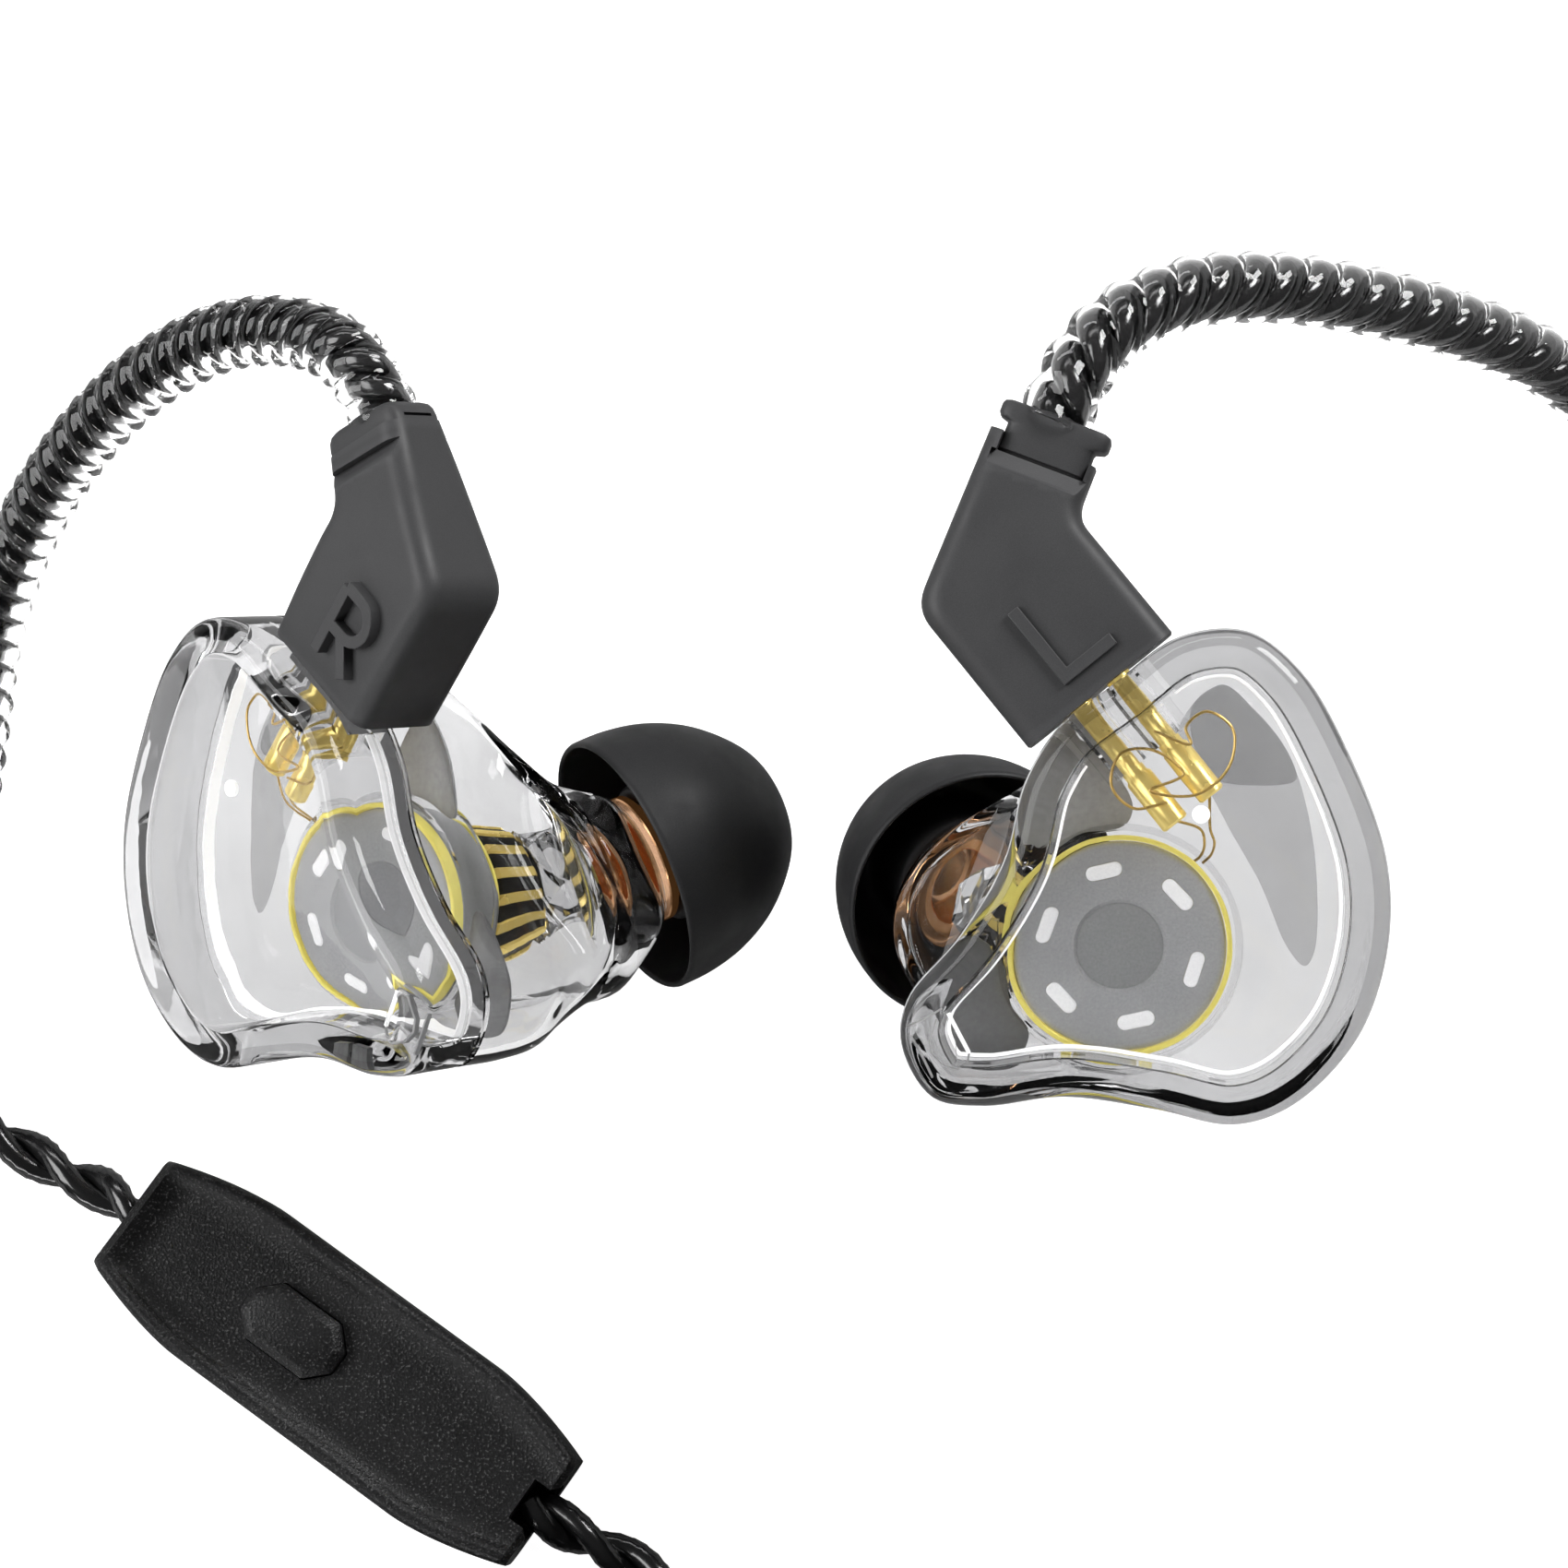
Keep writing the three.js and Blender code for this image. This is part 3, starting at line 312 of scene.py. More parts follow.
def units(rows):
    return rows / np.linalg.norm(rows, axis=1, keepdims=True)


def turns(count):
    """So many angles an even step apart, once round."""
    return np.linspace(0, 2 * math.pi, count, endpoint=False)


def circle(count, start=0.0):
    angles = turns(count) + start
    return np.column_stack([np.cos(angles), np.sin(angles)])


def squarish(count, power):
    """A unit circle pushed out towards its corners, the more the lower the power."""
    points = circle(count)
    return np.sign(points) * np.abs(points) ** power


def distances(line):
    """How far along a polyline each of its points lies."""
    return np.concatenate([[0], np.cumsum(np.linalg.norm(np.diff(line, axis=0), axis=1))])


def length_of(line):
    return distances(line)[-1]


def evenly(line, count, closed=False):
    """So many points an even distance apart along a polyline."""
    line = np.asarray(line, float)
    if closed:
        line = np.vstack([line, line[:1]])
    run = distances(line)
    at = np.linspace(0, run[-1], count + 1)[:-1] if closed else np.linspace(0, run[-1], count)
    return np.column_stack([np.interp(at, run, column) for column in line.T])


def make_piece(name, shape, material, smooth=40):
    """A mesh object from (vertices, faces) in millimetres, shaded smooth up to an angle."""
    vertices, faces = shape
    mesh = bpy.data.meshes.new(name)
    mesh.from_pydata((np.asarray(vertices) * MM).tolist(), [], faces)
    mesh.materials.append(material)
    obj = bpy.data.objects.new(name, mesh)
    bpy.context.scene.collection.objects.link(obj)
    tidy_mesh(obj, smooth)
    return obj


def tidy_mesh(obj, smooth=40):
    mesh = obj.data
    work = bmesh.new()
    work.from_mesh(mesh)
    bmesh.ops.recalc_face_normals(work, faces=work.faces)
    work.to_mesh(mesh)
    work.free()
    mesh.shade_smooth()
    mesh.set_sharp_from_angle(angle=math.radians(smooth))


def apply_modifiers(obj):
    evaluated = obj.evaluated_get(bpy.context.evaluated_depsgraph_get())
    finished = bpy.data.meshes.new_from_object(evaluated)
    obj.modifiers.clear()
    obj.data = finished


def carve(obj, *tools):
    """Cuts (vertices, faces) shapes out of a piece."""
    cutters = [make_piece(f"{obj.name}_tool", tool, white_painted_glow) for tool in tools]
    for cutter in cutters:
        modifier = obj.modifiers.new("cut", "BOOLEAN")
        modifier.object = cutter
        modifier.solver = "EXACT"
    apply_modifiers(obj)
    for cutter in cutters:
        bpy.data.objects.remove(cutter)
    tidy_mesh(obj)


def soften(obj, width, segments=2, angle=35):
    """Rounds the edges of a piece, or of a CAD node by a modifier alone."""
    modifier = obj.modifiers.new("rounded_edges", "BEVEL")
    modifier.width = width * MM
    modifier.segments = segments
    modifier.limit_method = "ANGLE"
    modifier.angle_limit = math.radians(angle)


def loft(rings, loop=False):
    """Joins rings of equal length into one closed body: capped at both ends, or ring to ring."""
    count = len(rings[0])
    faces = []
    for r in range(len(rings) if loop else len(rings) - 1):
        here, there = r * count, (r + 1) % len(rings) * count
        faces += [(here + i, here + j, there + j, there + i) for i in range(count) for j in [(i + 1) % count]]
    if not loop:
        last = (len(rings) - 1) * count
        faces += [tuple(range(count - 1, -1, -1)), tuple(range(last, last + count))]
    return np.vstack(rings), faces


def joined(shapes):
    vertices, faces, start = [], [], 0
    for points, polygons in shapes:
        vertices.append(points)
        faces += [tuple(start + i for i in polygon) for polygon in polygons]
        start += len(points)
    return np.vstack(vertices), faces


def lathe(profile, segments=64, loop=False):
    """A body of revolution about +z from (radius, z) pairs: flat ends, or closed on itself."""
    return loft([np.column_stack([r * circle(segments), np.full(segments, z)]) for r, z in profile], loop)


def prism(outline, low, high):
    return loft([np.column_stack([outline, np.full(len(outline), z)]) for z in (low, high)])


def box_shape(low, high):
    (x0, y0, z0), (x1, y1, z1) = low, high
    return prism([(x0, y0), (x1, y0), (x1, y1), (x0, y1)], z0, z1)


def rounded_outline(corners, radii, steps=6):
    """A polygon whose corners are arcs."""
    corners = np.array(corners, float)
    out = []
    for i, corner in enumerate(corners):
        back, on = unit(corners[i - 1] - corner), unit(corners[(i + 1) % len(corners)] - corner)
        half = math.acos(np.clip(back @ on, -1, 1)) / 2
        centre = corner + unit(back + on) * radii[i] / math.sin(half)
        start, end = (corner + way * radii[i] / math.tan(half) - centre for way in (back, on))
        a = math.atan2(start[1], start[0])
        sweep = (math.atan2(end[1], end[0]) - a + math.pi) % (2 * math.pi) - math.pi
        angles = a + sweep * np.linspace(0, 1, steps)
        out.append(centre + radii[i] * np.column_stack([np.cos(angles), np.sin(angles)]))
    return np.vstack(out)


def moved(shape, place):
    """A shape with its vertices passed through a placing function."""
    return place(np.asarray(shape[0], float)), shape[1]


def aim_z(axis, origin):
    """Places a shape made about +z along an axis from a point."""
    turn = np.array(Vector((0, 0, 1)).rotation_difference(Vector(axis)).to_matrix())
    return lambda points: points @ turn.T + np.asarray(origin, float)


def frames_along(line):
    """Unit directions along a line and two across it, turning about it as little as they can."""
    ahead = units(np.gradient(line, axis=0))
    side = np.zeros_like(line)
    seed = np.array([0, 0, 1.0]) if abs(ahead[0][2]) < 0.9 else np.array([1.0, 0, 0])
    for i, direction in enumerate(ahead):
        seed = unit(seed - direction * (seed @ direction))
        side[i] = seed
    return ahead, side, np.cross(ahead, side)


def tube(line, side, other, radius, sides):
    """A round tube along a line, from the two directions across it at each of its points."""
    turn = turns(sides)[:, None]
    return loft([at + radius * (np.cos(turn) * s + np.sin(turn) * o) for at, s, o in zip(line, side, other)])


def strand(line, pitch, offset, radius, phase, sides):
    """One of the strands twisted about a line."""
    _, side, other = frames_along(line)
    turn = (2 * math.pi * distances(line) / pitch + phase)[:, None]
    out = np.cos(turn) * side + np.sin(turn) * other
    middle = line + offset * out
    return tube(middle, out, units(np.cross(np.gradient(middle, axis=0), out)), radius, sides)


def twisted_pair(line, pitch, offset, radius, sides=10):
    return joined([strand(line, pitch, offset, radius, phase, sides) for phase in (0, math.pi)])


# ------------------------------------------------------------------ cable

# The routes are laid out in the model's own layout, in millimetres, then centred with the rest
CENTRING = np.array([-1.6, 0.1, 0])
CORD_RADIUS = 1.25
STRAND_RADIUS = 0.65
TWIST_PITCH = 8.6
COIL_CENTRE = (-15, -72)
LOW_ROW = 2.1
HIGH_ROW = 4.75
BRANCH_TURN_RADIUS = 28.0
SPLITTER_RADIUS = 23.75
SPLITTER_ANGLE = 45
SPLITTER_LENGTH = 12.6
REMOTE_AT = (-23.3, -31.6)
REMOTE_TURN = -35.3
REMOTE_LENGTH = 26.7
PLUG_AT = (27.5, -88.0, 3.1)
GAP = 0.3


def on_coil(angle, radius, z):
    """A point on the storage coil's plan, at an angle and radius from its centre."""
    a = math.radians(angle)
    return (COIL_CENTRE[0] + radius * math.cos(a), COIL_CENTRE[1] + radius * math.sin(a), z)


def clockwise(start, end, radius, z, step=18):
    count = math.ceil((start - end) / step)
    return [on_coil(start + (end - start) * i / count, radius, z) for i in range(count + 1)]


def splitter_end(side, out, z):
    """A point on the splitter's axis, beyond the end that faces back (-1) or onwards (1)."""
    x, y, _ = on_coil(SPLITTER_ANGLE, SPLITTER_RADIUS, z)
    reach = side * (SPLITTER_LENGTH / 2 + out)
    turn = math.radians(SPLITTER_ANGLE - 90)
    return (x + reach * math.cos(turn), y + reach * math.sin(turn), z)


def remote_end(side, out, z):
    reach = side * (REMOTE_LENGTH / 2 + out)
    turn = math.radians(REMOTE_TURN)
    return (REMOTE_AT[0] + reach * math.cos(turn), REMOTE_AT[1] + reach * math.sin(turn), z)


RIGHT_HOOK = [
    (-19.9, 13.9, 25.1), (-20.6, 15.2, 25.2), (-22.2, 16.8, 24.6), (-24.8, 18.0, 23.2), (-28.2, 18.4, 21.1),
    (-32.2, 17.6, 18.0), (-36.0, 15.8, 14.3), (-39.2, 13.3, 10.6), (-41.6, 10.3, 7.3),
    (-43.3, 6.8, 4.4), (-44.2, 2.6, 2.3), (-44.8, -1.6, 1.6),
]
LEFT_HOOK = [
    (13.1, 11.8, 31.0), (13.9, 13.4, 31.2), (15.8, 15.7, 30.6), (19.2, 17.8, 28.9), (23.8, 19.2, 26.0),
    (29.0, 19.8, 22.6), (34.6, 19.9, 18.6), (39.8, 19.4, 14.4), (43.9, 17.8, 10.4),
    (46.6, 14.8, 6.6), (47.8, 10.8, 3.6), (48.1, 6.6, 2.0), (48.0, 2.6, 1.6),
]
# From the right hook's end, out and round to the remote's upper end
RIGHT_UPPER = [
    (-44.9, -2.3, 1.6), (-45.6, -5.0, 1.4), (-47.3, -8.0, 1.25), (-48.8, -11.4, 1.25),
    (-48.4, -14.8, 1.25), (-45.6, -17.4, 1.25), (-42.1, -19.6, 1.25), (-39.0, -21.3, 1.5),
    remote_end(-1, 1.6, 2.6), remote_end(-1, GAP, 2.9),
]
# From the remote's lower end, once round the outside of the coil, in to the splitter
RIGHT_LOWER = [
    remote_end(1, GAP, 2.9), remote_end(1, 1.6, 2.6), (-7.6, -42.1, 1.5), (-4.0, -44.4, 1.25),
    (-0.4, -47.4, 1.4), *clockwise(35, -255, BRANCH_TURN_RADIUS, LOW_ROW),
    on_coil(-270, 27.1, LOW_ROW), on_coil(-281, 26.1, LOW_ROW),
    splitter_end(-1, 2.2, LOW_ROW), splitter_end(-1, GAP, LOW_ROW),
]
# From the left hook's end, down beside the plug, in to the splitter above the right branch
LEFT_BRANCH = [
    (48.0, 1.9, 1.6), (48.0, -1.2, 1.4), (48.0, -5.0, 1.25), (47.6, -12.0, 1.25), (47.2, -20.0, 1.25),
    (47.2, -29.0, 1.25), (47.4, -38.0, 1.25), (47.4, -48.0, 1.25), (46.8, -58.0, 1.25),
    (45.6, -68.0, 1.25), (43.4, -78.0, 1.25), (39.2, -87.5, 1.25), (32.6, -95.2, 1.25),
    (24.0, -100.2, 1.4), (14.0, -102.6, 2.2), (4.0, -102.9, 3.4), (-4.0, -101.8, 4.3),
    *clockwise(-95, -255, BRANCH_TURN_RADIUS, HIGH_ROW),
    on_coil(-270, 27.1, HIGH_ROW), on_coil(-281, 26.1, HIGH_ROW),
    splitter_end(-1, 2.2, HIGH_ROW), splitter_end(-1, GAP, HIGH_ROW),
]
MAIN_START = [
    splitter_end(1, GAP, LOW_ROW), splitter_end(1, 2, LOW_ROW), on_coil(18, 23.7, LOW_ROW),
    on_coil(8, 22.9, LOW_ROW),
]
# From the last turn of the coil, over the right branch, round to the plug
MAIN_TAIL = [
    on_coil(30, 20.6, HIGH_ROW), on_coil(22, 21.8, HIGH_ROW),
    on_coil(14, 22.9, HIGH_ROW), on_coil(2, 23.4, HIGH_ROW), on_coil(-8, 25.0, HIGH_ROW + 0.1),
    on_coil(-15, 27.4, HIGH_ROW + 0.15), on_coil(-21, 30.6, HIGH_ROW - 0.1), (15.4, -86.6, 3.4),
    (16.8, -90.0, 2.0), (19.0, -93.2, 1.4), (22.3, -94.6, 1.3), (25.4, -93.2, 1.6),
    (27.2, -90.6, 2.5), (PLUG_AT[0], PLUG_AT[1] - GAP, PLUG_AT[2]),
]
# The coil's own turns: in along the low row, up beside the hole, and out again along the high row
TURN_OUTER = 19.9
TURN_INNER = 11.65
TURN_STEP = 2.55
TURN_ENTRY = (8, -60)  # where the cable comes in from the splitter to the outer turn
CLIMB = 90


def coil_turns():
    start, settled = TURN_ENTRY
    points = []
    for share in (0.25, 0.5, 0.75):
        easing = (1 + math.cos(math.pi * share)) / 2
        points.append(on_coil(start + share * (settled - start), TURN_OUTER + 3.0 * easing, LOW_ROW))
    winding = 360 * (TURN_OUTER - TURN_INNER) / TURN_STEP
    steps = round(winding / 15)
    for i in range(steps + 1):
        share = i / steps
        radius = TURN_OUTER + share * (TURN_INNER - TURN_OUTER)
        points.append(on_coil(settled - share * winding, radius, LOW_ROW))
    for share in (0.2, 0.4, 0.6, 0.8):
        easing = (1 - math.cos(math.pi * share)) / 2
        height = LOW_ROW + easing * (HIGH_ROW - LOW_ROW)
        points.append(on_coil(settled - winding - share * CLIMB, TURN_INNER, height))
    for i in range(steps + 1):
        share = i / steps
        angle = settled - winding - CLIMB - share * winding
        points.append(on_coil(angle, TURN_INNER + share * (TURN_OUTER - TURN_INNER), HIGH_ROW))
    return points


def make_cable(name, route, nodes):
    """A twisted pair along a route, made as a piece on the cable body in place of the given CAD nodes."""
    line = curve_through(np.array(route) + CENTRING)
    line = evenly(line, round(length_of(line) / 0.6))
    pair = twisted_pair(line, TWIST_PITCH, CORD_RADIUS - STRAND_RADIUS, STRAND_RADIUS)
    cable = make_part(name, pair, cord_jacket, "cable", "cord_jacket", *nodes, smooth=60)


# ------------------------------------------------------------------ pieces that stand for CAD nodes

def make_part(name, shape, material, body, slot, *nodes, smooth=40):
    """A piece that rides on a body and takes the place of CAD nodes."""
    obj = make_piece(name, shape, material, smooth)
    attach(obj, body)
    if nodes:
        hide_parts(*nodes)
    return obj


def middle_of(node):
    low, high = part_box(node)
    return np.array((low + high) / 2) / MM


# ------------------------------------------------------------------ earpieces

# Each is made as the left one, in its own frame: the origin is the centre of the driver's back
# plate, +z points out of the ear and +y up to the connector. The right one is its mirror image.
SHELL_OUTLINE = [
    (3.5, 14.4), (6.6, 14.5), (8.9, 12.6), (11.0, 8.5), (12.4, 3.7), (12.2, -0.4), (10.7, -4.2),
    (7.7, -7.1), (5.0, -7.9), (1.5, -7.1), (-2.6, -6.4), (-6.4, -6.7), (-8.7, -6.2), (-10.0, -3.7),
    (-9.6, -1.6), (-7.0, 1.3), (-4.9, 4.6), (-3.8, 8.1), (-2.1, 10.6), (0.3, 12.3),
]
OUTLINE = evenly(curve_through(SHELL_OUTLINE, closed=True, per_span=40), 200, closed=True)
SHELL_MIDDLE = (1.0, 3.0)
FACE_Z = 6.65
PARTING_Z = 2.0
FACE_EDGE_RADIUS = 1.1
SHELL_WALL = 0.8
RIM_WIDTH = 1.75
NOZZLE_AXIS = unit((-0.37, 0.36, -0.86))
RIM_CENTRE = np.array((-7.1, 2.2, -10.4))
SEAT_AT = 0.6
PIN_AXIS = unit((-0.593, 0.805, 0))
PIN_ACROSS = unit((0.805, 0.593, 0))
PIN_MIDDLE = np.array((-0.2, 12.0, 2.1))
PIN_SPACING = 2.18
RING_MIDDLE_Z = -0.25  # height of the driver ring's middle in the earpiece's frame


def ear_place(side):
    """Maps an earpiece's own frame to the row frame, read from the frame's joints and driver ring."""
    joints = {joint["name"]: np.array(joint["axis"]) for joint in frame["joints"]}
    mirror = 1 if side == "left" else -1
    out = unit(joints[f"{side}_diaphragm_travel"])
    pull = joints[f"{side}_unplug"]
    pull = unit(pull - out * (pull @ out))
    across = np.cross(out, pull)
    own_pull = np.array((-mirror * PIN_AXIS[0], -PIN_AXIS[1]))
    own_across = np.array((-own_pull[1], own_pull[0]))
    x = own_pull[0] * pull + own_across[0] * across
    y = own_pull[1] * pull + own_across[1] * across
    turn = np.column_stack([mirror * x, y, out])
    origin = middle_of(f"{side}_driver_ring") - RING_MIDDLE_Z * out
    return lambda points: points @ turn.T + origin


def shell_ring(z, inset):
    """The shell's outline moved inwards, at a height."""
    run = units(np.roll(OUTLINE, -1, axis=0) - np.roll(OUTLINE, 1, axis=0))
    inwards = np.column_stack([run[:, 1], -run[:, 0]])
    return np.column_stack([OUTLINE + inset * inwards, np.full(len(OUTLINE), z)])


def nozzle_ring(centre, radius, axis=NOZZLE_AXIS):
    """A circle about the nozzle's axis whose points match the outline's by angle."""
    angle = np.arctan2(OUTLINE[:, 1] - SHELL_MIDDLE[1], OUTLINE[:, 0] - SHELL_MIDDLE[0])
    spokes = radius * np.column_stack([np.cos(angle), np.sin(angle), np.zeros(len(angle))])
    turn = np.array(Vector((0, 0, -1)).rotation_difference(Vector(axis)).to_matrix())
    return spokes @ turn.T + centre


def on_nozzle(distance):
    return RIM_CENTRE + distance * NOZZLE_AXIS


def cavity_surface(wall):
    """The cavity shell's surface from the parting plane to the nozzle seat, moved in by a wall."""
    def leaning(x, y, z, radius, lean):
        axis = unit((1 - lean) * np.array((0, 0, -1.0)) + lean * NOZZLE_AXIS)
        return nozzle_ring(np.array((x, y, z)), radius - wall, axis)

    def between(a, b, share):
        return (1 - share) * a + share * b

    rings = [
        shell_ring(PARTING_Z - GAP / 2, wall),
        shell_ring(-0.6, wall),
        shell_ring(-2.9, 0.25 + wall),
        between(shell_ring(-4.7, 0.8 + wall), leaning(-2.2, 1.2, -5.2, 7.8, 0.3), 0.2),
        between(shell_ring(-6.6, 1.6 + wall), leaning(-3.7, 1.0, -6.9, 6.9, 0.6), 0.6),
        leaning(-5.5, 1.2, -8.3 + wall, 5.9, 0.85),
        nozzle_ring(on_nozzle(-1.2), 4.8 - wall),
        nozzle_ring(on_nozzle(0.1), 3.95 - wall / 2),
        nozzle_ring(on_nozzle(SEAT_AT), 3.4 - wall),
    ]
    smooth = curve_through([ring.ravel() for ring in rings], per_span=6)
    return list(smooth.reshape(-1, len(OUTLINE), 3))


def faceplate_rings():
    """From the middle of the face, over its rounded edge, down the side and back up inside the thick rim."""
    low = PARTING_Z + GAP / 2
    edge = FACE_EDGE_RADIUS
    arc = [math.radians(a) for a in range(90, -1, -15)]
    over = [shell_ring(FACE_Z - edge * (1 - math.sin(a)), edge * (1 - math.cos(a))) for a in arc]
    inside = FACE_Z - SHELL_WALL
    return [
        shell_ring(FACE_Z, edge + 0.3), *over,
        shell_ring(low + 0.1, 0), shell_ring(low, 0.1), shell_ring(low, RIM_WIDTH - 0.1),
        shell_ring(low + 0.1, RIM_WIDTH), shell_ring(inside - 0.35, RIM_WIDTH),
        shell_ring(inside - 0.1, RIM_WIDTH + 0.1), shell_ring(inside, RIM_WIDTH + 0.35),
    ]


def on_pins(points):
    """From the connector's frame, with the pins along +y, to the earpiece's."""
    return PIN_MIDDLE + points @ np.array([PIN_ACROSS, PIN_AXIS, (0, 0, 1)])


def along_pin(x, profile, segments=40):
    """A body of revolution about one pin's line, with z running outwards along it."""
    points, faces = lathe(profile, segments)
    laid = np.column_stack([points[:, 0] + x, points[:, 2], -points[:, 1]])
    return on_pins(laid), faces


def lip_rings():
    """The bonded lip just inside the wall that joins the two shells; it glows white as a painted highlight along
    the parting line.
    """
    low, high = PARTING_Z - 0.4, PARTING_Z + 0.5
    near, far = RIM_WIDTH + 0.06, RIM_WIDTH + 0.14
    return [shell_ring(high, near), shell_ring(high, far), shell_ring(low, far), shell_ring(low, near)]


def gasket_rings():
    """The fine line of the bond where the shells meet."""
    low, high = PARTING_Z - 0.08, PARTING_Z + 0.08
    return [shell_ring(high, 0.05), shell_ring(high, 0.24), shell_ring(low, 0.24), shell_ring(low, 0.05)]


THROAT_ENDS = (np.array((-0.6, 0.2, -4.2)), np.array((-6.0, 1.8, -9.1)))
THROAT_RADII = (3.7, 2.3)
HORN_END = 0.44  # share of the throat that the ribbed horn takes
FACETS = (1.0, 0.86, 1.08, 0.9, 1.05, 0.84, 0.97)


def throat_ring(share, outline):
    """An outline made for a unit circle, set across the way from the driver's front to the nozzle."""
    centre = THROAT_ENDS[0] + share * (THROAT_ENDS[1] - THROAT_ENDS[0])
    axis = unit((1 - share) * np.array((0, 0, -1.0)) + share * NOZZLE_AXIS)
    radius = THROAT_RADII[0] + share * (THROAT_RADII[1] - THROAT_RADII[0])
    return aim_z(axis, centre)(np.column_stack([radius * outline, np.zeros(len(outline))]))


def duct_shape():
    """The faceted clear block that carries the sound on from the horn to the nozzle."""
    rings = []
    for k, share in enumerate(np.linspace(HORN_END + 0.05, 1.02, 5)):
        size = np.roll(FACETS, k)[:, None]
        rings.append(throat_ring(share, size * circle(len(FACETS), 0.45 * k)))
    return loft(rings)


HORN_RIBS = 16


def ribbed_horn(depth):
    """The horn on the driver's front, its ribs as deep as asked: none for the dark core between them."""
    count = 12 * HORN_RIBS
    rib = 1 + depth * np.sign(np.sin(HORN_RIBS * turns(count) + 0.01) - 0.35)
    outline = rib[:, None] * circle(count)
    return loft([throat_ring(share, size * outline)
                 for share, size in ((-0.02, 0.92), (0.02, 1.0), (HORN_END - 0.04, 1.0), (HORN_END, 0.9))])


# The ends of four snap hooks that show in the lower edge
NOTCHES = [(-6.5, -6.4), (-3.6, -6.0), (-2.3, -6.0), (4.1, -7.5)]
# The catch at the shell's narrow end, drawn as strips: its bright edge, which glows as a painted highlight, then
# its other edges
CATCH_EDGE = [(-7.8, -2.35), (-6.9, -4.25)]
CATCH_LINES = [
    [(-6.9, -4.3), (-7.0, -4.75), (-7.5, -4.95), (-8.15, -4.7), (-8.6, -4.2), (-8.7, -3.65), (-8.3, -2.6)],
    [(-9.5, -2.95), (-8.05, -2.15)], [(-9.4, -3.35), (-8.55, -5.25)],
]
CATCH_LEVELS = (5.25, 5.45)
# Flat plates behind the face that are painted shade: clear grey ones where the concha's wall and rim lie, and two
# opaque grey ones beside the driver
PLATE_THICKNESS = 0.15
PLATES = [
    ("concha_wall", -0.9, shade_clear, [
        (5.5, 12.6), (3.9, 11.6), (4.2, 8.5), (5.4, 5.8), (7.0, 2.7), (8.2, -0.4), (9.0, -1.3), (9.5, -0.7),
        (9.8, 2.6), (9.5, 6.1), (8.6, 9.2), (7.1, 11.2)]),
    ("concha_rim", -1.2, shade_clear, [
        (5.5, 12.6), (3.9, 11.7), (3.0, 9.4), (4.8, 8.0), (7.0, 7.6), (9.0, 7.8), (8.6, 9.3), (7.1, 11.3)]),
    ("nozzle_rib", -1.6, shade_plate_grey, [
        (-3.2, 8.2), (-1.5, 10.0), (0.8, 7.0), (0.4, 5.9), (-1.8, 5.6), (-3.6, 4.9)]),
    ("end_rib", -0.9, end_grey, [
        (-8.5, -3.4), (-8.2, -2.0), (-6.2, 0.5), (-5.7, -0.6), (-5.3, -2.6), (-4.4, -4.2), (-5.0, -5.4),
        (-7.8, -5.2)]),
]


def notch_shape(x, y):
    nearest = np.argmin(np.linalg.norm(OUTLINE - (x, y), axis=1))
    along = unit(OUTLINE[(nearest + 1) % len(OUTLINE)] - OUTLINE[nearest - 1])
    across = np.array((-along[1], along[0]))
    corners = ((-0.5, -0.18), (0.5, -0.18), (0.5, 0.18), (-0.5, 0.18))
    return prism([np.array((x, y)) + a * along + b * across for a, b in corners], 2.4, 3.0)


TIP_PROFILE = [
    (6.68, 0.04), (6.8, 0.2), (6.82, 0.5), (6.77, 2.0), (6.42, 3.8), (5.62, 5.65), (4.54, 7.1), (3.36, 8.2),
    (2.58, 8.58), (2.1, 8.52), (1.9, 8.25), (1.9, 7.2), (1.9, 5.95), (2.2, 5.7), (2.9, 5.55), (2.9, 3.6),
    (2.9, 1.9), (3.1, 1.75), (3.5, 1.75), (3.7, 1.95), (3.7, 3.8), (3.65, 5.3), (3.95, 5.75), (4.6, 5.7),
    (5.6, 4.2), (6.2, 2.4), (6.45, 0.7), (6.55, 0.1),
]
NOZZLE_PROFILE = [
    (2.0, 0.95), (2.05, 0.9), (3.33, 0.9), (3.4, 0.97), (3.4, 1.33), (3.33, 1.4), (2.6, 1.4), (2.55, 1.45),
    (2.55, 4.7), (2.7, 4.9), (2.7, 5.0), (2.6, 5.2), (2.05, 5.2), (2.0, 5.15),
]
CAN_PROFILE = [
    (2.0, -0.16), (2.15, -0.12), (2.28, 0.0), (4.85, 0.0), (5.05, -0.04), (5.14, -0.15), (5.16, -0.35),
    (5.16, -1.0), (5.0, -1.1), (5.0, -3.0), (4.6, -3.0), (4.6, -0.6),
]
FRONT_PROFILE = [
    (4.5, -3.4), (4.6, -3.45), (4.6, -3.75), (4.4, -3.85), (3.6, -3.95), (3.2, -4.1), (1.4, -4.25),
    (0.01, -4.25),
]
FRONT_RING = [(4.6, -3.48), (4.75, -3.52), (4.75, -3.68), (4.6, -3.72)]
SLOT_RADIUS = 3.74
SLOT_FIRST_ANGLE = 40
SLOT_SIZE = (0.78, 1.86)


